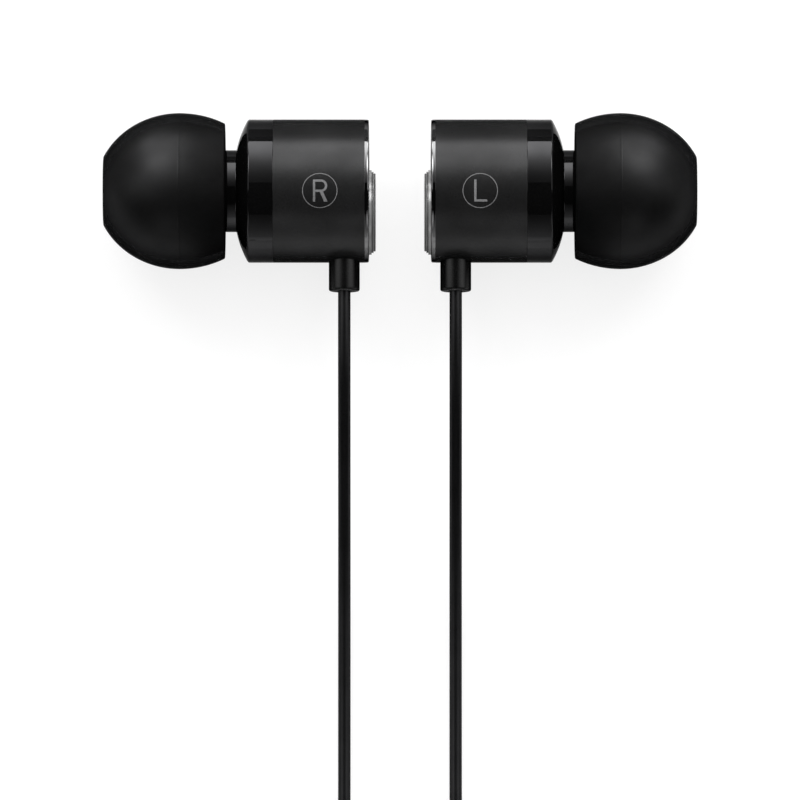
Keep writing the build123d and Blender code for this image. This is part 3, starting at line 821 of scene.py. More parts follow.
def bridge(work: Work, first: list, second: list) -> None:
    """Join two rings of vertices, either of which may be a single pole.

    Args:
        work: The mesh in the making.
        first: One ring, or one vertex.
        second: The next ring, or one vertex.
    """
    count = max(len(first), len(second))
    if count == 1:
        return
    for index in range(count):
        following = (index + 1) % count
        if len(first) == 1:
            work.faces.new((first[0], second[following], second[index]))
        elif len(second) == 1:
            work.faces.new((first[index], first[following], second[0]))
        else:
            work.faces.new((first[index], first[following], second[following], second[index]))


def piece_from(work: Work, name: str) -> Piece:
    """Turn a finished bmesh into an object with smooth faces and sharp corners.

    Args:
        work: The mesh, in metres and in its place.
        name: The piece's name.

    Returns:
        The object, at the origin.
    """
    bmesh.ops.remove_doubles(work, verts=work.verts, dist=WELD)
    bmesh.ops.recalc_face_normals(work, faces=work.faces)
    mesh = mesh_from(work, name)
    shade(mesh)
    return linked(name, mesh)


def baked(piece: Piece) -> Piece:
    """Replace an object's modifiers by the mesh that they give, and shade it.

    Args:
        piece: The object with its modifiers.

    Returns:
        The same object with a plain mesh and no modifiers.
    """
    graph = bpy.context.evaluated_depsgraph_get()
    mesh = bpy.data.meshes.new_from_object(piece.evaluated_get(graph), depsgraph=graph)
    piece.modifiers.clear()
    piece.data = mesh
    shade(mesh)
    return piece


def cut_away(piece: Piece, cutter: Piece) -> None:
    """Cut one object's shape out of another, and remove the cutter.

    Args:
        piece: The object that is cut.
        cutter: The closed object whose shape goes.
    """
    step = piece.modifiers.new("cut", "BOOLEAN")
    step.object = cutter
    step.operation = "DIFFERENCE"
    step.solver = "EXACT"
    baked(piece)
    bpy.data.objects.remove(cutter)


def rounded(corners: Iterable[Corner], steps: int = 5) -> list[Point2]:
    """Round the corners of a closed lathe outline.

    Args:
        corners: Radius, height and rounding length of each corner.
        steps: Pieces in each rounding.

    Returns:
        The outline's points, as radius and height.
    """
    corners = list(corners)
    points = []
    for index, (radius, height, rounding) in enumerate(corners):
        here = Vector((radius, height))
        if rounding <= 0.0:
            points.append((radius, height))
            continue
        before = Vector(corners[index - 1][:2])
        after = Vector(corners[(index + 1) % len(corners)][:2])
        arriving = here - before
        leaving = after - here
        start = here - arriving.normalized() * min(rounding, LONGEST_ROUNDING * arriving.length)
        end = here + leaving.normalized() * min(rounding, LONGEST_ROUNDING * leaving.length)
        for step in range(steps + 1):
            share = step / steps
            point = start * (1 - share) ** 2 + here * 2 * share * (1 - share) + end * share**2
            points.append((point.x, point.y))
    return points


def lathe(name: str, outline: Iterable[Point2], place: Matrix, segments: int) -> Piece:
    """Turn a closed outline round its own height axis.

    Args:
        name: The piece's name.
        outline: Radius and height of each point, in millimetres, with radius 0 only at closed ends.
        place: Matrix from the outline's frame to the scene.
        segments: Faces round the axis.

    Returns:
        The turned object.
    """
    work = bmesh.new()
    rings = [
        round_loop(work, radius, height, segments if radius > POLE_RADIUS else 1, place)
        for radius, height in outline
    ]
    for ring, following in zip(rings, rings[1:] + rings[:1]):
        bridge(work, ring, following)
    return piece_from(work, name)


def band(inner: float, outer: float, low: float, high: float, rounding: float = 0.0) -> list[Point2]:
    """Outline of a plain ring, or of a disc where the inner radius is 0.

    Args:
        inner: Inner radius.
        outer: Outer radius.
        low: One end's height.
        high: The other end's height.
        rounding: Rounding length of the corners at the second end.

    Returns:
        The outline's points.
    """
    corners = [(inner, low, 0.0), (outer, low, 0.0), (outer, high, rounding)]
    return rounded([*corners, (inner, high, rounding if inner else 0.0)])


def groove(radius: float, depth: float, station: float, rounding: float) -> list[Corner]:
    """Fine groove in an outline.

    Args:
        radius: Radius, or inset, of the surface beside the groove.
        depth: Step from the surface to the groove's bottom.
        station: Height where the groove starts.
        rounding: Rounding length of its corners.

    Returns:
        The groove's corners.
    """
    steps = ((0.0, radius), (0.06, radius + depth), (0.24, radius + depth), (0.3, radius))
    return [(reach, station + rise, rounding) for rise, reach in steps]


def placed(origin: Point3, x_axis: Point3, z_axis: Point3) -> Matrix:
    """Matrix from a frame in millimetres to the scene.

    Args:
        origin: The frame's origin, in millimetres.
        x_axis: Direction of its X.
        z_axis: Direction of its Z.

    Returns:
        The matrix, which also scales to metres.
    """
    x_way = Vector(x_axis).normalized()
    z_way = Vector(z_axis).normalized()
    y_way = z_way.cross(x_way)
    turn = Matrix((x_way, y_way, z_way)).transposed().to_4x4()
    return Matrix.Translation(Vector(origin) * MM) @ turn @ Matrix.Scale(MM, 4)


def dress(piece: Piece, finish: Finish) -> None:
    """Give every material slot of an object the same finish.

    Args:
        piece: A CAD node or a new piece.
        finish: The finish that it takes.
    """
    if not piece.material_slots:
        piece.data.materials.append(finish.material())
    for slot in piece.material_slots:
        slot.material = finish.material()


def dress_nodes(nodes: dict[str, Piece], finishes: dict[Finish, Sequence[str]], start: str = "") -> None:
    """Give CAD nodes their finishes.

    Args:
        nodes: The CAD nodes by name.
        finishes: Names of the nodes that take each finish.
        start: What each name starts with.
    """
    for finish, names in finishes.items():
        for name in names:
            dress(nodes[start + name], finish)


def fit(piece: Piece, finish: Finish, body: str, *nodes: str) -> Piece:
    """Finish a piece and let it ride on its body in place of its CAD nodes.

    Args:
        piece: The new piece.
        finish: Its finish.
        body: The body that it rides on.
        nodes: The CAD nodes that it stands for.

    Returns:
        The same piece.
    """
    dress(piece, finish)
    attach(piece, body)
    if nodes:
        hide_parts(*nodes)
    LOG.info("%s rides on %s for %s", piece.name, body, ", ".join(nodes) or "no node")
    return piece


# ------------------------------------------------------------------ geometry node trees
class Tree(NodeTree):
    """A Geometry Nodes tree in the making, with named number inputs."""

    def __init__(self, name: str, **sizes: float) -> None:
        """Start a tree.

        Args:
            name: The tree's name.
            sizes: The named inputs and their values.
        """
        super().__init__(bpy.data.node_groups.new(name, "GeometryNodeTree"))
        interface = self.tree.interface
        interface.new_socket("Geometry", in_out="INPUT", socket_type="NodeSocketGeometry")
        interface.new_socket("Geometry", in_out="OUTPUT", socket_type="NodeSocketGeometry")
        self.values = {}
        for key, value in sizes.items():
            kind = "NodeSocketInt" if isinstance(value, int) else "NodeSocketFloat"
            socket = interface.new_socket(key, in_out="INPUT", socket_type=kind)
            self.values[socket.identifier] = value
        socket = interface.new_socket("finish", in_out="INPUT", socket_type="NodeSocketMaterial")
        self.finish_identifier = socket.identifier
        self.start = self.node("NodeGroupInput")
        self.end = self.node("NodeGroupOutput")

    def size(self, name: str) -> Socket:
        """Socket of a named input."""
        return self.start.outputs[name]

    def add(self, kind: str, *inputs: object, **settings: object) -> Node:
        """Add a node and feed its inputs in order.

        Args:
            kind: The node's full type name.
            inputs: A socket, a value, or None to leave that input alone.
            settings: Properties of the node to set.

        Returns:
            The new node.
        """
        node = self.node(kind, **settings)
        self.put_all((socket for socket in node.inputs if socket.enabled), inputs)
        return node

    def row(self, count: Socket, first: Socket, gap: Socket) -> Socket:
        """Add a row of points.

        Args:
            count: How many points.
            first: Place of the first one.
            gap: Way from each point to the next.

        Returns:
            The points.
        """
        node = self.add("GeometryNodeMeshLine", mode="OFFSET")
        self.put_all((node.inputs[key] for key in ("Count", "Start Location", "Offset")), (count, first, gap))
        return node.outputs[0]

    def circle(self, radius: object, facets: int) -> Socket:
        """Add a circle.

        Args:
            radius: Its radius, as a socket or a number.
            facets: Number of its sides.

        Returns:
            The circle's curve.
        """
        node = self.add("GeometryNodeCurvePrimitiveCircle", mode="RADIUS")
        self.put(node.inputs["Resolution"], facets)
        self.put(node.inputs["Radius"], radius)
        return node.outputs[0]

    def copies(self, points: Socket, shape: Socket, scale: Socket) -> Socket:
        """Set a copy of a shape on each point.

        Args:
            points: Where the copies stand.
            shape: The geometry that is copied.
            scale: Scale of each copy.

        Returns:
            The copies, as real geometry.
        """
        node = self.add("GeometryNodeInstanceOnPoints", points)
        self.put(node.inputs["Instance"], shape)
        self.put(node.inputs["Scale"], scale)
        return self.add("GeometryNodeRealizeInstances", node.outputs[0]).outputs[0]

    def tubes(self, curves: Socket, radius: Socket, facets: int) -> Socket:
        """Add round tubes along curves and return their mesh."""
        return self.add("GeometryNodeCurveToMesh", curves, self.circle(radius, facets)).outputs[0]

    def place_of_point(self) -> Node:
        """Add a node that parts each point's place into X, Y and Z."""
        return self.add("ShaderNodeSeparateXYZ", self.add("GeometryNodeInputPosition").outputs[0])

    def combine(self, x: object = 0.0, y: object = 0.0, z: object = 0.0) -> Socket:
        """Add a Combine XYZ node and return its vector."""
        return self.add("ShaderNodeCombineXYZ", x, y, z).outputs[0]

    def make(self, name: str, geometry: Socket, finish: Finish, place: Matrix) -> Piece:
        """Close the tree, run it once and keep the plain mesh.

        Args:
            name: The piece's name.
            geometry: The geometry that the tree ends with.
            finish: The finish that the tree sets.
            place: Matrix from the tree's millimetres to the scene.

        Returns:
            The baked object.
        """
        real = self.add("GeometryNodeRealizeInstances", geometry).outputs[0]
        painted = self.add("GeometryNodeSetMaterial", real, None, self.size("finish")).outputs[0]
        self.put(self.end.inputs[0], painted)
        piece = linked(name, bpy.data.meshes.new(name))
        step = piece.modifiers.new("make", "NODES")
        step.node_group = self.tree
        for identifier, value in self.values.items():
            step[identifier] = value
        step[self.finish_identifier] = finish.material()
        baked(piece)
        piece.data.transform(place)
        return piece


@dataclass(frozen=True)
class Weave:
    """Round wires woven over and under each other into a disc, in millimetres."""

    radius: float
    pitch: float = 0.19
    wire: float = 0.032
    points: int = 97
    facets: int = 6
    shortest_half: float = 0.001

    def build(self, name: str, place: Matrix) -> Piece:
        """Weave the disc.

        Args:
            name: The piece's name.
            place: Matrix from the disc's frame to the scene.

        Returns:
            The woven object.
        """
        tree = Tree(name, radius=self.radius, pitch=self.pitch, wire=self.wire)
        both = tree.add("GeometryNodeJoinGeometry")
        for way in (0, 1):
            tree.put(both.inputs[0], self.wires(tree, way))
        return tree.make(name, both.outputs[0], Finishes.WIRE, place)

    def wires(self, tree: Tree, way: int) -> Socket:
        """Lay the wires of one way, waved over and under the others.

        Args:
            tree: The tree in the making.
            way: 0 for wires along X and 1 for wires along Y.

        Returns:
            The wires' geometry.
        """
        radius, pitch, wire = (tree.size(name) for name in ("radius", "pitch", "wire"))
        count = tree.math("FLOOR", tree.math("DIVIDE", tree.math("MULTIPLY", radius, 2.0), pitch))
        low = tree.math("MULTIPLY", tree.math("MULTIPLY", count, pitch), -0.5)
        centre = tree.math("ADD", low, tree.math("MULTIPLY", pitch, 0.5))
        rows = tree.row(count, tree.combine(y=centre), tree.combine(y=pitch))
        line = tree.add("GeometryNodeCurvePrimitiveLine", (-1.0, 0.0, 0.0), (1.0, 0.0, 0.0))
        fine = tree.add("GeometryNodeResampleCurve", line.outputs[0])
        tree.put(fine.inputs["Count"], self.points)
        middle = tree.place_of_point().outputs["Y"]
        inside = tree.math("SUBTRACT", tree.math("POWER", radius, 2.0), tree.math("POWER", middle, 2.0))
        half = tree.math("SQRT", tree.math("MAXIMUM", inside, self.shortest_half))
        loose = tree.copies(rows, fine.outputs[0], tree.combine(half, 1.0, 1.0))
        spot = tree.place_of_point().outputs
        row, along = (tree.math("DIVIDE", tree.math("SUBTRACT", spot[axis], centre), pitch) for axis in "YX")
        crossing = tree.math("ADD", along, tree.math("ROUND", row))
        phase = tree.math("MULTIPLY", tree.math("ADD", crossing, float(way)), math.pi)
        waved = tree.add("GeometryNodeSetPosition", loose)
        lift = tree.math("MULTIPLY", tree.math("COSINE", phase), wire)
        tree.put(waved.inputs["Offset"], tree.combine(z=lift))
        turned = tree.add("GeometryNodeTransform", tree.tubes(waved.outputs[0], wire, self.facets))
        tree.put(turned.inputs["Rotation"], (0.0, 0.0, math.pi / 2 * way))
        return turned.outputs[0]


@dataclass(frozen=True)
class Boot:
    """Tapered rubber boot: a cone under rounded rings, in millimetres from its start."""

    length: float
    start_radius: float
    end_radius: float
    rings: int
    first_ring: float
    last_ring: float
    thickness: float
    round_facets: int = 64
    ring_facets: int = 12

    def ring_radius(self, station: float) -> float:
        """Radius of a ring's middle, so that the ring ends flush with the taper."""
        slope = (self.end_radius - self.start_radius) / self.length
        return self.start_radius + slope * station - self.thickness

    def set_rings(self, name: str, place: Matrix) -> None:
        """Set the rings along the boot's axis and fit them.

        Args:
            name: The piece's name.
            place: Matrix from the boot's frame to the scene.
        """
        tree = Tree(
            name,
            count=self.rings,
            first=self.first_ring,
            last=self.last_ring,
            first_radius=self.ring_radius(self.first_ring),
            last_radius=self.ring_radius(self.last_ring),
            thickness=self.thickness,
        )
        gaps = tree.math("SUBTRACT", tree.size("count"), 1.0)
        pitch = tree.math("DIVIDE", tree.math("SUBTRACT", tree.size("last"), tree.size("first")), gaps)
        row = tree.row(tree.size("count"), tree.combine(z=tree.size("first")), tree.combine(z=pitch))
        share = tree.math("DIVIDE", tree.add("GeometryNodeInputIndex").outputs[0], gaps)
        growth = tree.math("SUBTRACT", tree.size("last_radius"), tree.size("first_radius"))
        radius = tree.math("MULTIPLY_ADD", share, growth, tree.size("first_radius"))
        loose = tree.copies(row, tree.circle(1.0, self.round_facets), tree.combine(radius, radius, 1.0))
        tubes = tree.tubes(loose, tree.size("thickness"), self.ring_facets)
        fit(tree.make(name, tubes, Finishes.RUBBER, place), Finishes.RUBBER, ROOT)


# ------------------------------------------------------------------ cords
@dataclass(frozen=True)
class Coil:
    """Turns of cord beside and on each other, wound from outside to inside and back."""

    centre: Point2
    radius: float
    turns: float
    layers: int
    diameter: float
    base: float
    start_angle: float
    points_per_turn: int = 16
    climb_turns: float = 0.25

    def points(self) -> list[Point3]:
        """Control points of the turns, clockwise seen from above.

        Returns:
            The points, in millimetres.
        """
        total = round(self.turns * self.points_per_turn)
        turns_per_layer = self.turns / self.layers
        sweep = self.diameter * turns_per_layer
        x, y = self.centre
        points = []
        for index in range(total + 1):
            turn = index / self.points_per_turn
            layer = min(int(turn / turns_per_layer), self.layers - 1)
            share = turn / turns_per_layer - layer
            inward = share if layer % 2 == 0 else 1.0 - share
            radius = self.radius - sweep * inward
            angle = math.radians(self.start_angle) - 2.0 * math.pi * turn
            height = self.base + self.diameter * (0.5 + self.climb(turn, turns_per_layer))
            points.append((x + radius * math.cos(angle), y + radius * math.sin(angle), height))
        return points

    def climb(self, turn: float, turns_per_layer: float) -> float:
        """Layers climbed so far, rising within a part of a turn where a layer is full."""
        past = ((turn - layer * turns_per_layer) / self.climb_turns for layer in range(1, self.layers))
        return sum(min(1.0, max(0.0, share + 0.5)) for share in past)


@dataclass(frozen=True)
class Cord:
    """One free length of cord, with its route in millimetres."""

    name: str
    route: Sequence[Point3]
    diameter: float
    length: float
    far_end: str
    nodes: Sequence[str]
    carries: Sequence[str]
    lay: str = "coiled"

    def build(self) -> None:
        curve = bpy.data.curves.new(self.name, "CURVE")
        curve.dimensions = "3D"
        curve.bevel_depth = self.diameter / 2 * MM
        curve.bevel_resolution = 5
        curve.resolution_u = 8
        curve.use_fill_caps = True
        spline = curve.splines.new("NURBS")
        spline.points.add(len(self.route) - 1)
        for point, spot in zip(spline.points, self.route):
            point.co = (*(Vector(spot) * MM), 1.0)
        spline.order_u = 3
        spline.use_endpoint_u = True
        cord = linked(self.name, curve)
        curve.materials.append(Finishes.JACKET.material())
        hide_from(cord, "glossy")
        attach(cord, ROOT)
        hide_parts(*self.nodes)
        tuple(Vector(self.route[0]) * MM)
        list(self.carries)
        LOG.info("%s: %.0f mm of cord", self.name, self.length)


@dataclass(frozen=True)
class CordSet:
    """Both branches, the main cord, and their wound lengths."""

    branch: float = 1.04
    main: float = 1.8
    branch_coil: Point2 = (1.5, -128.0)
    branch_coil_radius: float = 7.04
    main_coil: Point2 = (0.0, -78.0)
    main_coil_radius: float = 12.4

    @staticmethod
    def hanging(side: Side) -> list[Point3]:
        """First stretch of a branch, from its earbud straight down to the table."""
        x = 4.65 * side.value
        return [(x, -8.41, 6.53), (x, -15.0, 6.45), (x, -27.0, 2.3), (x, -43.5, 0.52), (x, -57.5, 0.52)]

    def right_upper(self) -> list[Point3]:
        """Route from the right earbud to the remote."""
        return self.hanging(Side.RIGHT) + [
            (-10.4, -65.3, 0.52),
            (-15.8, -75.0, 0.52),
            (-17.7, -85.5, 0.52),
            (-17.0, -94.0, 2.75),
            (-17.0, -100.0, 2.75),
        ]

    def right_lower(self) -> list[Point3]:
        """Route from the remote through the upper branch coil to the splitter.

        Returns:
            The route's points.
        """
        arriving = [
            (-17.0, -138.0, 2.75),
            (-17.0, -142.4, 2.75),
            (-16.9, -148.6, 0.75),
            (-14.7, -151.9, 0.52),
            (-11.2, -153.1, 0.52),
            (-7.7, -151.9, 0.52),
            (-5.5, -148.7, 0.52),
            (-5.3, -143.8, 0.52),
            (-5.45, -138.2, 1.0),
            (-5.54, -132.9, 2.58),
        ]
        leaving = [(-5.5, -124.8, 3.64), (-4.65, -120.2, 2.1), (-4.65, -117.0, 2.1)]
        base = 2 * self.branch
        coil = Coil(self.branch_coil, self.branch_coil_radius, 4.0, 2, self.branch, base, 180.0)
        return arriving + coil.points() + leaving

    def left(self) -> list[Point3]:
        """Route from the left earbud through the lower branch coil to the splitter.

        Returns:
            The route's points.
        """
        arriving = [
            (10.5, -65.2, 0.52),
            (15.4, -75.0, 0.52),
            (16.5, -86.0, 0.52),
            (14.0, -97.0, 0.52),
            (10.7, -107.5, 0.52),
            (8.9, -118.0, 0.52),
        ]
        leaving = [(-5.56, -124.0, 1.56), (-6.35, -120.4, 2.1), (-6.35, -117.0, 2.1)]
        coil = Coil(self.branch_coil, self.branch_coil_radius, 5.5, 2, self.branch, 0.0, 0.0)
        return self.hanging(Side.LEFT) + arriving + coil.points() + leaving

    def trunk(self) -> list[Point3]:
        """Route from the splitter through the main coil to the plug.

        Returns:
            The route's points.
        """
        arriving = [(-5.5, -105.0, 2.1), (-5.5, -100.6, 2.1), (-8.0, -94.4, 1.0), (-12.1, -86.3, 0.9)]
        leaving = [
            (13.0, -85.5, 6.1),
            (15.9, -91.5, 5.2),
            (18.5, -97.6, 3.5),
            (19.5, -103.6, 2.8),
            (19.5, -108.5, 2.8),
        ]
        coil = Coil(self.main_coil, self.main_coil_radius, 12.5, 4, self.main, 0.0, 180.0)
        return arriving + coil.points() + leaving

    def build(self, remote: Sequence[str], splitter: Sequence[str], plug: Sequence[str]) -> None:
        """Args:
            remote: Pieces of the remote.
            splitter: Pieces of the splitter.
            plug: Pieces of the plug.
        """
        upper, lower = ("right_cord_upper",), ("right_cord_lower", "right_cord_coil", "right_cord_tail")
        left = ("left_cord", "left_cord_coil", "left_cord_tail")
        main = ("main_cord_lead", "main_cord_coil", "main_cord_tail")
        above, below = (*remote, "right_relief"), (*splitter, "left_relief")
        thin, routes = self.branch, (self.right_upper(), self.right_lower(), self.left(), self.trunk())
        for cord in (
            Cord("right_branch_upper", routes[0], thin, 95.5, "fitting", upper, above, lay="loose"),
            Cord("right_branch_lower", routes[1], thin, 208.8, "fitting", lower, splitter),
            Cord("left_branch", routes[2], thin, 328.9, "fitting", left, below),
            Cord("main_cord", routes[3], self.main, 813.4, "plug", main, plug),
        ):
            cord.build()


# ------------------------------------------------------------------ earbuds
@dataclass(frozen=True)
class Letter:
    """A side letter of plain strokes, drawn flat in millimetres round its own middle."""

    side: Side
    height: float = 1.85
    stroke: float = 0.19
    foot: Span = (-0.5, 0.58)
    spine: float = -0.57
    bowl: Point2 = (0.1, 0.52)
    leg_feet: Span = (0.35, 0.64)
    leg_heads: Span = (0.0, 0.27)
    leg_slope: float = 0.03
    outer_arc: tuple[float, float, int] = (-60.0, 90.0, 14)
    inner_arc: tuple[float, float, int] = (90.0, -90.0, 12)

    def loops(self) -> list[list[Point2]]:
        """Outline loops of the letter, the outer one first."""
        return [self.straight()] if self.side is Side.LEFT else self.bowled()

    def straight(self) -> list[Point2]:
        """Draw a spine with a foot.

        Returns:
            The outline.
        """
        top, pen, (left, right) = self.height / 2, self.stroke, self.foot
        edge, inside = left + pen, -top + pen
        return [(left, top), (left, -top), (right, -top), (right, inside), (edge, inside), (edge, top)]

    def bowled(self) -> list[list[Point2]]:
        """Draw a spine with a bowl and a leg.

        Returns:
            The outline, and that of the bowl's inside.
        """
        top, pen, left = self.height / 2, self.stroke, self.spine
        bowl_x, radius = self.bowl
        bowl_y = top - radius
        waist = bowl_y - radius
        outer = [(left, -top), (left + pen, -top), (left + pen, waist), (self.leg_heads[0], waist)]
        outer += [(x, -top) for x in self.leg_feet]
        outer.append((self.leg_heads[1], waist + self.leg_slope))
        outer += arc_points(bowl_x, bowl_y, radius, *self.outer_arc)
        outer.append((left, top))
        inner = [(left + pen, top - pen), *arc_points(bowl_x, bowl_y, radius - pen, *self.inner_arc)]
        inner.append((left + pen, waist + pen))
        return [outer, inner]


def arc_points(x: float, y: float, radius: float, start: float, end: float, steps: int) -> list[Point2]:
    """Points along a circular arc.

    Args:
        x: Middle of the circle.
        y: Middle of the circle.
        radius: Its radius.
        start: First angle, in degrees.
        end: Last angle, in degrees.
        steps: Pieces in the arc.

    Returns:
        The arc's points.
    """
    angles = [math.radians(start + (end - start) * step / steps) for step in range(steps + 1)]
    return [(x + radius * math.cos(angle), y + radius * math.sin(angle)) for angle in angles]


@dataclass(frozen=True)
class Earbud:
    """One earbud: sizes in millimetres, heights along its axis from the rear face outwards."""

    side: Side
    half_spacing: float = 2.525
    axis_height: float = 6.53
    clearance: float = 0.02
    seat_gap: float = 0.002
    shell_radius: float = 5.98
    shell_bore: float = 5.48
    spigot_radius: float = 5.46
    sleeve_start: float = 0.43
    sleeve_end: float = 8.06
    housing_bore: float = 5.04
    housing_start: float = 6.56
    housing_step: float = 8.36
    chamber_radius: float = 4.4
    chamber_end: float = 9.98
    ring_end: float = 10.10
    bevel: float = 0.12
    shoulder_end: float = 11.12
    shoulder_bulge: float = 0.1
    shoulder_steps: int = 12
    neck_radius: float = 3.42
    nozzle_start: float = 13.20
    nozzle_end: float = 18.20
    nozzle_radius: float = 2.35
    nozzle_bore: float = 1.55
    barb_height: float = 0.2
    barb_places: Point3 = (17.1, 17.3, 17.5)
    mesh_seat: float = 1.95
    mesh_recess: float = 0.35
    mesh_inset: float = 0.1
    mesh_height: float = 0.07
    grille_rim: Point2 = (0.26, 0.01)
    grille_height: float = 0.14
    tip_radius: float = 6.515
    tip_rear: float = 12.08
    tip_widest: float = 15.89
    tip_front: float = 22.268
    tip_axes: Point2 = (7.6, 7.08)
    tip_steps: int = 54
    tip_mouth: float = 2.0
    seam_height: float = 0.01
    seam_angle: float = 0.006
    seam_step: float = 0.004
    hem: float = 0.16
    lip: float = 0.3
    hollow_radius: float = 5.93
    hollow_axes: Point2 = (7.3, 4.33)
    hollow_steps: tuple[int, int] = (12, 16)
    stem_radius: float = 3.21
    stem_bore: float = 2.61
    stem_start: float = 13.35
    stem_end: float = 18.35
    cap_rear: float = 0.08
    cap_taper: float = 0.02
    cap_rounding: float = 0.12
    cap_face: float = 5.63
    cap_face_height: float = 0.06
    cap_wall: float = 0.9
    cap_bore: float = 4.96
    cap_end: float = 1.73
    disc_offset: float = 1.8
    disc_radius: float = 3.56
    disc_sunk: float = 0.25
    disc_height: float = 0.5
    disc_groove: float = 0.1
    disc_taper: float = 0.03
    disc_top_taper: float = 0.07
    disc_shelf: float = 0.14
    disc_bands: Sequence[Point3] = ((0.0, 0.16, 3.56), (0.25, 0.32, 3.42), (0.41, 0.5, 3.3))
    dish_radii: Point2 = (3.0, 2.9)
    dish_depth: float = 0.06
    spun_radius: float = 2.86
    spun_depths: Span = (0.09, 0.052)
    # Radii and gap of the near-black rings of painted shade in the disc's grooves.
    line_radii: Span = (0.17, 0.05)
    line_gap: float = 0.01
    relief_station: float = 2.125
    relief_bore: float = 0.54
    relief_radius: float = 1.29
    relief_end: float = 8.41
    flange_radius: float = 1.7
    flange_hole: float = 1.73
    flange_reach: Span = (4.6, 5.15)
    mark_station: float = 4.142
    mark_radius: float = 1.435
    mark_line: float = 0.06
    mark_tilt: float = -7.4
    mark_levels: Span = (-0.01, 0.006)
    mark_rows: int = 26

    @property
    def place(self) -> Matrix:
        """Frame of the earbud's axis."""
        way = self.side.value
        return placed((way * self.half_spacing, 0.0, self.axis_height), (0.0, 0.0, -way), (way, 0.0, 0.0))

    @property
    def relief_place(self) -> Matrix:
        """Frame of the strain relief, whose axis runs towards -Y."""
        across = self.side.value * (self.half_spacing + self.relief_station)
        return placed((across, 0.0, self.axis_height), (1.0, 0.0, 0.0), (0.0, -1.0, 0.0))

    def name(self, part: str) -> str:
        """Name of a piece or a CAD node on this side."""
        return f"{self.side.label}_{part}"

    def oval(self, angle: float, radius: float, axes: Point2) -> Corner:
        """Point of an oval round the tip's widest place, with an axis of its own each way."""
        axis = axes[0] if angle < 0.0 else axes[1]
        return radius * math.cos(angle), self.tip_widest + axis * math.sin(angle), 0.0

    def tip_outside(self) -> list[Corner]:
        """Outside of the tip, with a faint seam at its widest place.

        Returns:
            The corners from hem to lip.
        """
        rear = -math.asin((self.tip_widest - self.tip_rear) / self.tip_axes[0])
        front = math.asin((self.tip_front - self.tip_widest) / self.tip_axes[1])
        angles = [rear + (front - rear) * step / self.tip_steps for step in range(self.tip_steps + 1)]
        angles += [step * self.seam_step for step in range(-3, 4)]
        corners = []
        for angle in sorted(angles):
            radius, height, rounding = self.oval(angle, self.tip_radius, self.tip_axes)
            seam = self.seam_height * math.exp(-((angle / self.seam_angle) ** 2))
            corners.append((radius + seam, height, rounding))
        corners[0] = (*corners[0][:2], self.hem)
        corners[-1] = (*corners[-1][:2], self.lip)
        return corners

    def tip_inside(self) -> list[Corner]:
        """Free side of the stem and inside of the skirt.

        Returns:
            The corners from the stem's rear end to the hem.
        """
        front = math.acos(self.stem_radius / self.hollow_radius)
        rear = math.asin((self.tip_widest - self.tip_rear) / self.hollow_axes[0])
        rear_steps, front_steps = self.hollow_steps
        angles = [front * (1.0 - step / front_steps) for step in range(front_steps)]
        angles += [-rear * step / rear_steps for step in range(rear_steps + 1)]
        corners = [self.oval(angle, self.hollow_radius, self.hollow_axes) for angle in angles]
        corners[-1] = (*corners[-1][:2], self.hem)
        return [(self.stem_radius, self.stem_start, 0.1), *corners]

    def tip(self) -> None:
        """Silicone tip: elliptical skirt, web, stem and sound bore."""
        bore = [
            (self.tip_mouth, self.tip_front, self.lip),
            (self.tip_mouth, self.stem_end, 0.0),
            (self.stem_bore, self.stem_end, 0.0),
            (self.stem_bore, self.stem_start, 0.1),
        ]
        outline = rounded([*self.tip_outside(), *bore, *self.tip_inside()])
        piece = lathe(self.name("silicone_tip"), outline, self.place, 160)
        fit(piece, Finishes.SILICONE, self.name("tip"), self.name("ear_tip"))

    def shoulder(self) -> list[Corner]:
        """Convex shoulder from the gloss ring down to the neck.

        Returns:
            Its corners.
        """
        start = Vector((self.shell_radius - self.bevel, self.ring_end + self.bevel))
        end = Vector((self.neck_radius, self.shoulder_end))
        bulge = (start - end).orthogonal().normalized() * self.shoulder_bulge
        corners = [(start.x, start.y, 0.05)]
        for step in range(1, self.shoulder_steps):
            share = step / self.shoulder_steps
            point = start.lerp(end, share) + bulge * 4.0 * share * (1.0 - share)
            corners.append((point.x, point.y, 0.0))
        return [*corners, (end.x, end.y, 0.07)]

    def housing(self) -> None:
        """Gloss ring, convex shoulder, neck and barbed nozzle, with the sound path through them."""
        nozzle, ring_start = self.nozzle_radius, self.sleeve_end + self.seat_gap
        barb_start, barb_top, barb_end = self.barb_places
        mesh_floor = self.nozzle_end - self.mesh_recess
        corners = [
            (self.housing_bore, self.housing_start, 0.05),
            (self.spigot_radius, self.housing_start, 0.05),
            (self.spigot_radius, ring_start, 0.0),
            (self.shell_radius, ring_start, 0.035),
            (self.shell_radius, self.ring_end, 0.05),
            *self.shoulder(),
            (self.neck_radius, self.nozzle_start - self.bevel, 0.03),
            (self.neck_radius - self.bevel, self.nozzle_start, 0.03),
            (nozzle, self.nozzle_start, 0.06),
            (nozzle, barb_start, 0.05),
            (nozzle + self.barb_height, barb_top, 0.08),
            (nozzle + self.barb_height, barb_end, 0.08),
            (nozzle, self.nozzle_end, 0.05),
            (self.mesh_seat, self.nozzle_end, 0.05),
            (self.mesh_seat, mesh_floor, 0.0),
            (self.nozzle_bore, mesh_floor, 0.04),
            (self.nozzle_bore, self.shoulder_end, 0.1),
            (self.chamber_radius, self.chamber_end, 0.1),
            (self.chamber_radius, self.housing_step, 0.0),
            (self.housing_bore, self.housing_step, 0.0),
        ]
        piece = lathe(self.name("front_ring"), rounded(corners), self.place, 192)
        fit(piece, Finishes.GLOSS, ROOT, self.name("front_housing"))

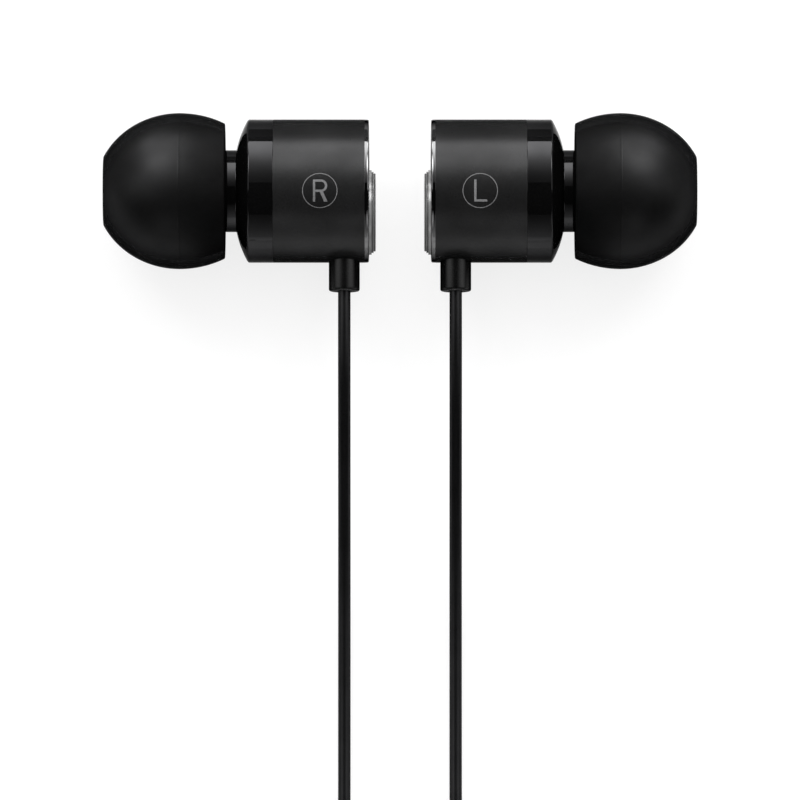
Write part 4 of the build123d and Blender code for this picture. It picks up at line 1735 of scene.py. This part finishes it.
    def grille(self) -> None:
        """Woven steel grille with its pressed rim, at the bottom of the nozzle's recess."""
        seat = self.nozzle_end - self.mesh_recess
        weave_place = self.place @ Matrix.Translation((0.0, 0.0, seat + self.mesh_height))
        weave = Weave(self.mesh_seat - self.mesh_inset).build(self.name("grille_weave"), weave_place)
        fit(weave, Finishes.WIRE, ROOT, self.name("nozzle_mesh"))
        inner, outer = (self.mesh_seat - inset for inset in self.grille_rim)
        top = seat + self.grille_height
        rim = [(inner, seat, 0.03), (outer, seat, 0.03), (outer, top, 0.05), (inner, top, 0.05)]
        fit(lathe(self.name("grille_rim"), rounded(rim), self.place, 96), Finishes.WIRE, ROOT)

    def sleeve(self) -> None:
        """Satin sleeve with softened ends and a round hole for the strain relief."""
        corners = [
            (self.shell_bore, self.sleeve_start, 0.03),
            (self.shell_radius, self.sleeve_start, 0.02),
            (self.shell_radius, self.sleeve_end, 0.035),
            (self.shell_bore, self.sleeve_end, 0.03),
        ]
        piece = lathe(self.name("satin_sleeve"), rounded(corners), self.place, 192)
        cut_away(piece, self.side_hole(self.relief_radius + self.clearance))
        fit(piece, Finishes.SATIN, ROOT, self.name("body_sleeve"))

    def side_hole(self, radius: float) -> Piece:
        """Round cutter along the strain relief's axis, longer than the shell is wide."""
        return lathe("cutter", band(0.0, radius, 0.0, 2.0 * self.shell_radius), self.relief_place, 64)

    def cap(self) -> None:
        """Rear cap: polished rim, slightly domed face and a spigot inside the sleeve."""
        rim_end, centre = self.sleeve_start - self.seat_gap, self.cap_face_height
        corners = [
            (self.shell_radius, rim_end, 0.015),
            (self.shell_radius - self.cap_taper, self.cap_rear, self.cap_rounding),
            (self.cap_face, centre, 0.06),
        ]
        for share in (1.0 - step / 8 for step in range(1, 8)):
            corners.append((self.cap_face * share, centre * share**2, 0.0))
        corners += [
            (0.0, 0.0, 0.0),
            (0.0, self.cap_wall, 0.0),
            (self.cap_bore, self.cap_wall, 0.05),
            (self.cap_bore, self.cap_end, 0.04),
            (self.spigot_radius, self.cap_end, 0.05),
            (self.spigot_radius, rim_end, 0.0),
        ]
        piece = lathe(self.name("polished_cap"), rounded(corners), self.place, 192)
        cut_away(piece, self.side_hole(self.flange_hole))
        seat = band(0.0, self.disc_radius + self.clearance, -self.disc_height, self.disc_sunk)
        cut_away(piece, lathe("cutter", seat, self.disc_place, 128))
        fit(piece, Finishes.RIM, ROOT, self.name("rear_cap"))

    @property
    def disc_place(self) -> Matrix:
        """Frame of the eccentric rear disc."""
        return self.place @ Matrix.Translation((0.0, -self.disc_offset, 0.0))

    def disc(self) -> None:
        """Eccentric disc of three narrowing bands, with near-black rings of painted shade in the grooves
        between them, and a spun dish.
        """
        top = -self.disc_height
        corners = [(0.0, self.disc_sunk, 0.0), (self.disc_radius, self.disc_sunk, 0.0)]
        for low, high, radius in self.disc_bands:
            if low > 0.0:
                corners += [(radius - self.disc_groove, -low, 0.005), (radius, -low, 0.012)]
            if high < self.disc_height:
                corners.append((radius - self.disc_taper, -high, 0.02))
                corners.append((radius - self.disc_shelf - self.disc_groove, -high, 0.005))
            else:
                corners.append((radius - self.disc_taper - self.disc_top_taper, -high, 0.02))
        edge, foot = self.dish_radii
        corners += [(edge, top, 0.03), (foot, top + self.dish_depth, 0.04), (0.0, top + self.dish_depth, 0.0)]
        pieces = [("turned_disc", rounded(corners, 3), 160, Finishes.DISC)]
        # Near-black rings sit in the grooves between the bands as painted shade.
        for index, (lower, upper) in enumerate(zip(self.disc_bands, self.disc_bands[1:])):
            inner, outer = (upper[2] - inset for inset in self.line_radii)
            line = band(inner, outer, -lower[1] + self.line_gap, -upper[0] - self.line_gap)
            pieces.append((f"disc_line_{index}", line, 160, Finishes.GROOVE))
        low, high = (top + depth for depth in self.spun_depths)
        pieces.append(("spun_face", band(0.0, self.spun_radius, low, high, 0.02), 128, Finishes.SPUN))
        for name, outline, segments, finish in pieces:
            piece = lathe(self.name(name), outline, self.disc_place, segments)
            fit(piece, finish, ROOT, self.name("rear_disc"))

    def relief(self) -> None:
        """Soft bush round the cord, held by a flange inside the sleeve."""
        start, end = self.flange_reach
        corners = [
            (self.relief_bore, start, 0.0),
            (self.flange_radius, start, 0.05),
            (self.flange_radius, end, 0.05),
            (self.relief_radius, end, 0.0),
            (self.relief_radius, self.relief_end, 0.16),
            (self.relief_bore, self.relief_end, 0.07),
        ]
        piece = lathe(self.name("relief"), rounded(corners, 6), self.relief_place, 96)
        fit(piece, Finishes.RUBBER, ROOT, self.name("strain_relief"))

    def mark(self) -> None:
        """Ring and side letter etched on the sleeve, bent round it."""
        work = bmesh.new()
        edges = []
        for loop in Letter(self.side).loops():
            corners = [work.verts.new((x, y, 0.0)) for x, y in loop]
            edges += [work.edges.new(pair) for pair in zip(corners, corners[1:] + corners[:1])]
        bmesh.ops.triangle_fill(work, edges=edges, use_beauty=True)
        for row in range(1, self.mark_rows):
            everything = [*work.verts, *work.edges, *work.faces]
            level = (0.0, (row / self.mark_rows - 0.5) * 2.0, 0.0)
            bmesh.ops.bisect_plane(work, geom=everything, plane_co=level, plane_no=(0.0, 1.0, 0.0))
        radii = (self.mark_radius + way * self.mark_line / 2 for way in (-1, 1))
        bridge(work, *(round_loop(work, radius, 0.0, 128) for radius in radii))
        lifted = bmesh.ops.extrude_face_region(work, geom=list(work.faces))
        tops = {item for item in lifted["geom"] if isinstance(item, bmesh.types.BMVert)}
        tilt = math.radians(self.mark_tilt)
        across = self.side.value * (self.half_spacing + self.mark_station)
        sunk, raised = self.mark_levels
        for vertex in work.verts:
            radius = self.shell_radius + (raised if vertex in tops else sunk)
            angle = tilt + vertex.co.y / self.shell_radius
            lift = self.axis_height + radius * math.cos(angle)
            vertex.co = Vector((across + vertex.co.x, radius * math.sin(angle), lift)) * MM
        fit(piece_from(work, self.name("side_mark")), Finishes.MARK, ROOT)

    def build(self, nodes: dict[str, Piece]) -> None:
        """Finish the CAD nodes and build the visible pieces.

        Args:
            nodes: The CAD nodes by name.
        """
        dress_nodes(nodes, EARBUD_FINISHES, self.name(""))
        self.tip()
        self.housing()
        self.grille()
        self.sleeve()
        self.cap()
        self.disc()
        self.relief()
        self.mark()


# ------------------------------------------------------------------ remote, splitter and plug
def capsule_stack(
    name: str, length: float, width: float, profile: Iterable[Corner], place: Matrix, per_end: int = 28
) -> Piece:
    """Stack outlines with fully rounded ends into one closed solid.

    Args:
        name: The piece's name.
        length: Length of the outline along its own Y.
        width: Its width.
        profile: Inset and height of each outline, with a rounding length, from one end cap to the other.
        place: Matrix from the solid's frame to the scene.
        per_end: Faces in each rounded end.

    Returns:
        The solid.
    """
    profile = list(profile)
    caps = [(*profile[0][:2], 0.0), *profile[1:-1], (*profile[-1][:2], 0.0)]
    work = bmesh.new()
    rings = []
    for inset, height in rounded(caps):
        ring = []
        radius = width / 2 - inset
        for way, start in ((1.0, 0.0), (-1.0, math.pi)):
            for step in range(per_end + 1):
                angle = start + math.pi * step / per_end
                along = way * (length - width) / 2 + radius * math.sin(angle)
                ring.append(work.verts.new(place @ Vector((radius * math.cos(angle), along, height))))
        rings.append(ring)
    for ring, following in zip(rings, rings[1:]):
        bridge(work, ring, following)
    work.faces.new(rings[0][::-1])
    work.faces.new(rings[-1])
    return piece_from(work, name)


def soften(piece: Piece, width: float) -> None:
    """Round an object's sharp edges.

    Args:
        piece: The object.
        width: Width of the rounding, in millimetres.
    """
    step = piece.modifiers.new("soften", "BEVEL")
    step.width = width * MM
    step.segments = 3
    step.limit_method = "ANGLE"
    step.angle_limit = SOFTENED_ANGLE
    step.use_clamp_overlap = True
    baked(piece)


class Key(Enum):
    """The remote's keys, with the place of each one along the remote in key spacings."""

    VOLUME_UP = 1
    PLAY = 0
    VOLUME_DOWN = -1

    @property
    def body(self) -> str:
        """Name of the body that the key is."""
        return self.name.lower()

    @property
    def node(self) -> str:
        """Name of the key's CAD node."""
        return f"remote_{self.body}_button"


@dataclass(frozen=True)
class Remote:
    """Remote control with three keys, in millimetres."""

    x: float = -17.0
    y: float = -119.0
    length: float = 32.0
    width: float = 6.8
    thickness: float = 5.5
    wall: float = 0.8
    inner_flat: float = 0.6
    inner_rounding: float = 0.3
    edge: float = 1.2
    outer_flat: float = 0.25
    seam: float = 0.07
    softness: float = 0.09
    key_spacing: float = 7.2
    key_length: float = 5.2
    key_width: float = 3.4
    play_radius: float = 1.95
    key_rise: float = 0.35
    key_clearance: float = 0.12
    key_hole_reach: Span = (3.6, 7.0)
    key_flange: float = 0.35
    flange_base: float = 4.1
    flange_top: float = 4.6
    dish: float = 0.07
    dish_insets: Point3 = (0.3, 0.75, 1.0)
    symbol_levels: Span = (-0.02, 0.035)
    bar_reach: float = 0.6
    bar_half: float = 0.09
    play_ring: Span = (0.3, 0.46)
    port_offset: float = -10.3
    port_radius: float = 0.4
    port_reach: Span = (-1.0, 2.0)
    boot: Boot = Boot(3.0, 1.45, 0.87, rings=5, first_ring=0.3, last_ring=2.6, thickness=0.24)
    boot_spigot: Point2 = (0.9, -1.2)

    @property
    def place(self) -> Matrix:
        """Frame of the remote, standing on the table at its own middle."""
        return placed((self.x, self.y, 0.0), (1.0, 0.0, 0.0), (0.0, 0.0, 1.0))

    def key_size(self, key: Key) -> Point2:
        """Length and width of a key."""
        if key is Key.PLAY:
            return 2 * self.play_radius, 2 * self.play_radius
        return self.key_length, self.key_width

    def key_place(self, key: Key) -> Matrix:
        """Frame of a key, at the remote's own height."""
        return self.place @ Matrix.Translation((0.0, key.value * self.key_spacing, 0.0))

    def shells(self) -> None:
        """Two moulded halves with a fine seam, key holes above and a microphone port below."""
        split = self.thickness / 2
        for name, way in (("front", 1.0), ("back", -1.0)):
            end = split * (1.0 + way)
            profile = [
                (self.wall + self.inner_flat, end - way * self.wall, 0.0),
                (self.wall, end - way * self.wall, self.inner_rounding),
                (self.wall, split, 0.0),
                (self.seam, split, 0.0),
                (0.0, split + way * self.seam, 0.03),
                (0.0, end, self.edge),
                (self.edge + self.outer_flat, end, 0.0),
            ]
            piece = capsule_stack(f"{name}_shell", self.length, self.width, profile, self.place)
            for cutter in self.key_holes() if name == "front" else self.port():
                cut_away(piece, cutter)
            soften(piece, self.softness)
            fit(piece, Finishes.SHELL, ROOT, f"remote_{name}_shell")

    def key_holes(self) -> Iterator[Piece]:
        """Cutters for the keys' holes, each made when it is needed."""
        low, high = self.key_hole_reach
        for key in Key:
            length, width = (size + 2 * self.key_clearance for size in self.key_size(key))
            profile = [(0.0, low, 0.0), (0.0, high, 0.0)]
            yield capsule_stack("cutter", length, width, profile, self.key_place(key))

    def port(self) -> Iterator[Piece]:
        """Cutter for the microphone's port."""
        place = self.place @ Matrix.Translation((0.0, self.port_offset, 0.0))
        yield lathe("cutter", band(0.0, self.port_radius, *self.port_reach), place, 40)

    def keys(self) -> None:
        """Dished keys, each with its flange, its symbol and its own body."""
        top = self.thickness + self.key_rise
        rim, slope, floor = self.dish_insets
        profile = [
            (-self.key_flange, self.flange_base, 0.0),
            (-self.key_flange, self.flange_top, 0.05),
            (0.0, self.flange_top, 0.0),
            (0.0, top, 0.22),
            (rim, top, 0.15),
            (slope, top - self.dish, 0.25),
            (floor, top - self.dish, 0.0),
        ]
        for key in Key:
            place = self.key_place(key)
            piece = capsule_stack(f"{key.body}_key", *self.key_size(key), profile, place)
            fit(piece, Finishes.BUTTON, key.body, key.node)
            symbol = self.symbol(key, place @ Matrix.Translation((0.0, 0.0, top - self.dish)))
            fit(symbol, Finishes.SYMBOL, key.body)

    def symbol(self, key: Key, place: Matrix) -> Piece:
        """Raised symbol: bars for the volume keys and a small ring for play.

        Args:
            key: The key that it marks.
            place: Frame of the key's dished face.

        Returns:
            The symbol.
        """
        name = f"{key.body}_symbol"
        if key is Key.PLAY:
            return lathe(name, band(*self.play_ring, *self.symbol_levels, rounding=0.03), place, 64)
        reach, half = self.bar_reach, self.bar_half
        outline = [(reach, -half), (reach, half), (-reach, half), (-reach, -half)]
        if key is Key.VOLUME_UP:
            outline = [
                (x * math.cos(turn) - y * math.sin(turn), x * math.sin(turn) + y * math.cos(turn))
                for turn in circle_angles(4)
                for x, y in ((reach, -half), (reach, half), (half, half))
            ]
        work = bmesh.new()
        floor, roof = (
            [work.verts.new(place @ Vector((x, y, level))) for x, y in outline]
            for level in self.symbol_levels
        )
        bridge(work, floor, roof)
        work.faces.new(floor[::-1])
        work.faces.new(roof)
        return piece_from(work, name)

    def boots(self) -> None:
        """Tapered, ringed boots at both ends."""
        boot, (spigot, sunk) = self.boot, self.boot_spigot
        core = [
            (0.0, sunk, 0.0),
            (spigot, sunk, 0.1),
            (spigot, 0.0, 0.0),
            (boot.start_radius - 0.18, 0.0, 0.1),
            (boot.end_radius - 0.1, boot.length, 0.1),
            (0.0, boot.length, 0.0),
        ]
        for name, way, nodes in (("upper", 1.0, ("remote_boots",)), ("lower", -1.0, ())):
            end = (self.x, self.y + way * self.length / 2, self.thickness / 2)
            place = placed(end, (1.0, 0.0, 0.0), (0.0, way, 0.0))
            fit(lathe(f"remote_{name}_boot", rounded(core), place, 64), Finishes.RUBBER, ROOT, *nodes)
            boot.set_rings(f"remote_{name}_rings", place)

    def build(self) -> None:
        """Build every piece of the remote."""
        self.shells()
        self.keys()
        self.boots()


@dataclass(frozen=True)
class Splitter:
    """Splitter where both branches join, in millimetres."""

    x: float = -5.5
    branch_end: float = -117.0
    length: float = 8.5
    width: float = 5.0
    height: float = 4.2
    edge: float = 0.8
    end_flat: float = 0.3
    groove: float = 0.12
    groove_insets: Span = (1.9, 2.2)
    boot: Boot = Boot(3.5, 1.9, 1.25, rings=5, first_ring=0.35, last_ring=3.1, thickness=0.28)
    boot_inset: float = 0.22
    boot_sunk: float = -0.6

    def build(self) -> None:
        """Build the oval body with its two grooves, and the ringed boot."""
        start_place = placed((self.x, self.branch_end, self.height / 2), (0.0, 0.0, 1.0), (0.0, 1.0, 0.0))
        profile = [(self.edge + self.end_flat, 0.0, 0.0), (0.0, 0.0, self.edge)]
        for station in (self.groove_insets[0], self.length - self.groove_insets[1]):
            profile += groove(0.0, self.groove, station, 0.04)
        profile += [(0.0, self.length, self.edge), (self.edge + self.end_flat, self.length, 0.0)]
        body = capsule_stack("splitter_shell", self.width, self.height, profile, start_place)
        fit(body, Finishes.SHELL, ROOT, "splitter_body")
        boot, root = self.boot, self.boot.start_radius - self.boot_inset
        main_end = (self.x, self.branch_end + self.length, self.height / 2)
        boot_place = placed(main_end, (1.0, 0.0, 0.0), (0.0, 1.0, 0.0))
        core = [
            (0.0, self.boot_sunk, 0.0),
            (root, self.boot_sunk, 0.0),
            (root, 0.0, 0.0),
            (boot.end_radius - 0.12, boot.length, 0.1),
            (0.0, boot.length, 0.0),
        ]
        fit(lathe("splitter_cone", rounded(core), boot_place, 80), Finishes.RUBBER, ROOT, "splitter_boot")
        boot.set_rings("splitter_rings", boot_place)


@dataclass(frozen=True)
class Plug:
    """Plug of 3.5 mm with four contacts: heights run from the cord's end to the pin's point."""

    x: float = 19.5
    cord_end: float = -108.5
    axis_height: float = 2.8
    boot: Boot = Boot(8.0, 1.25, 2.1, rings=8, first_ring=0.45, last_ring=7.45, thickness=0.36)
    grip_end: float = 27.0
    grip_radius: float = 2.8
    grip_edge: float = 0.5
    groove: float = 0.1
    groove_insets: Span = (2.2, 2.5)
    collar_end: float = 28.0
    collar_radius: float = 2.1
    pin_radius: float = 1.75
    core_radius: float = 0.5
    liner_radius: float = 1.0
    band: float = 0.5
    band_inset: float = 0.015
    ring_length: float = 2.2
    tip_length: float = 4.3
    pin_end: float = 42.0

    @property
    def place(self) -> Matrix:
        """Frame of the plug, whose axis runs towards -Y."""
        return placed((self.x, self.cord_end, self.axis_height), (1.0, 0.0, 0.0), (0.0, -1.0, 0.0))

    def turned(self, name: str, finish: Finish, corners: Iterable[Corner], *nodes: str) -> None:
        """Turn one piece round the plug's axis and fit it.

        Args:
            name: The piece's name.
            finish: Its finish.
            corners: Its closed outline with roundings.
            nodes: The CAD nodes that it stands for.
        """
        fit(lathe(name, rounded(corners), self.place, 112), finish, ROOT, *nodes)

    def boot_and_rings(self) -> None:
        """Tapered boot under eight rounded rings."""
        boot = self.boot
        core = [
            (0.0, 0.0, 0.0),
            (boot.start_radius - 0.08, 0.0, 0.08),
            (boot.end_radius - 0.25, boot.length, 0.0),
            (0.0, boot.length, 0.0),
        ]
        self.turned("plug_cone", Finishes.RUBBER, core, "plug_boot")
        boot.set_rings("plug_rings", self.place)

    def grip(self) -> None:
        """Grip with softened ends, two fine grooves and a collar round the pin."""
        start, end, radius, edge = self.boot.length, self.grip_end, self.grip_radius, self.grip_edge
        corners = [(0.0, start, 0.0), (radius - edge, start, 0.15), (radius, start + edge, 0.3)]
        for station in (start + self.groove_insets[0], end - self.groove_insets[1]):
            corners += groove(radius, -self.groove, station, 0.03)
        corners += [
            (radius, end - edge, 0.3),
            (radius - edge, end, 0.15),
            (self.collar_radius, end, 0.05),
            (self.collar_radius, self.collar_end, 0.1),
            (self.liner_radius, self.collar_end, 0.0),
            (self.liner_radius, end, 0.0),
            (0.0, end, 0.0),
        ]
        self.turned("plug_handle", Finishes.SHELL, corners, "plug_grip")

    def tube(self, start: float, end: float) -> list[Corner]:
        """Outline of a contact tube between two heights."""
        inner, outer = self.liner_radius, self.pin_radius
        return [(inner, start, 0.0), (outer, start, 0.05), (outer, end, 0.05), (inner, end, 0.0)]

    def pin(self) -> None:
        """Pointed tip, two rings and a sleeve, parted by insulating bands."""
        tip_start = self.pin_end - self.tip_length
        starts = [tip_start - (index + 1) * (self.band + self.ring_length) for index in range(2)]
        sleeve_end = starts[-1] - self.band
        tip = [
            (0.0, self.grip_end, 0.0),
            (self.core_radius, self.grip_end, 0.0),
            (self.core_radius, tip_start, 0.0),
            (self.pin_radius, tip_start, 0.06),
            (self.pin_radius, tip_start + 1.3, 0.2),
            (1.15, tip_start + 1.95, 0.25),
            (1.65, tip_start + 2.65, 0.2),
            (1.5, tip_start + 2.95, 0.2),
            (0.55, self.pin_end - 0.15, 0.15),
            (0.0, self.pin_end, 0.0),
        ]
        self.turned("pin_tip", Finishes.CONTACT, tip, "plug_tip_contact")
        for index, start in enumerate(starts):
            nodes = ("plug_ring_contacts",) if index == 0 else ()
            ring = self.tube(start, start + self.ring_length)
            self.turned(f"pin_ring_{index + 1}", Finishes.CONTACT, ring, *nodes)
        sleeve = self.tube(self.collar_end, sleeve_end)
        self.turned("pin_sleeve", Finishes.CONTACT, sleeve, "plug_sleeve_contact")
        liner = [(self.core_radius, self.grip_end, 0.0), (self.liner_radius, self.grip_end, 0.0)]
        for start in (sleeve_end, starts[0] - self.band, tip_start - self.band):
            liner += [
                (self.liner_radius, start, 0.0),
                (self.pin_radius - self.band_inset, start, 0.0),
                (self.pin_radius - self.band_inset, start + self.band, 0.0),
                (self.liner_radius, start + self.band, 0.0),
            ]
        liner[-1] = (self.core_radius, tip_start, 0.0)
        self.turned("pin_bands", Finishes.INSULATOR, liner, "plug_insulators")

    def build(self) -> None:
        """Build every piece of the plug."""
        self.boot_and_rings()
        self.grip()
        self.pin()


def names_of(parts: Iterable[str], *starts: str) -> list[str]:
    """Names that begin with one of several words."""
    return [name for name in parts if name.startswith(starts)]


def main() -> None:
    """Load the frame, build the studio and every piece, and keep the remote, splitter and plug pieces out of
    gloss.
    """
    logging.basicConfig(level=logging.INFO, format="%(name)s: %(message)s")
    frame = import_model()
    Studio().build()
    dress_nodes(frame["nodes"], CORD_FINISHES)
    for side in Side:
        Earbud(side).build(frame["nodes"])
    before = {piece.name for piece in bpy.data.objects}
    Remote().build()
    Splitter().build()
    Plug().build()
    added = [piece.name for piece in bpy.data.objects if piece.name not in before]
    inner = ("remote_circuit_board", "remote_microphone", "remote_switch_domes")
    remote = [*inner, *names_of(added, "front_shell", "back_shell", "remote_", "volume_", "play_")]
    CordSet().build(remote, names_of(added, "splitter_"), names_of(added, "plug_", "pin_"))
    for name in added:
        hide_from(bpy.data.objects[name], "glossy")
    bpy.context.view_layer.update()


if __name__ == "__main__":
    main()
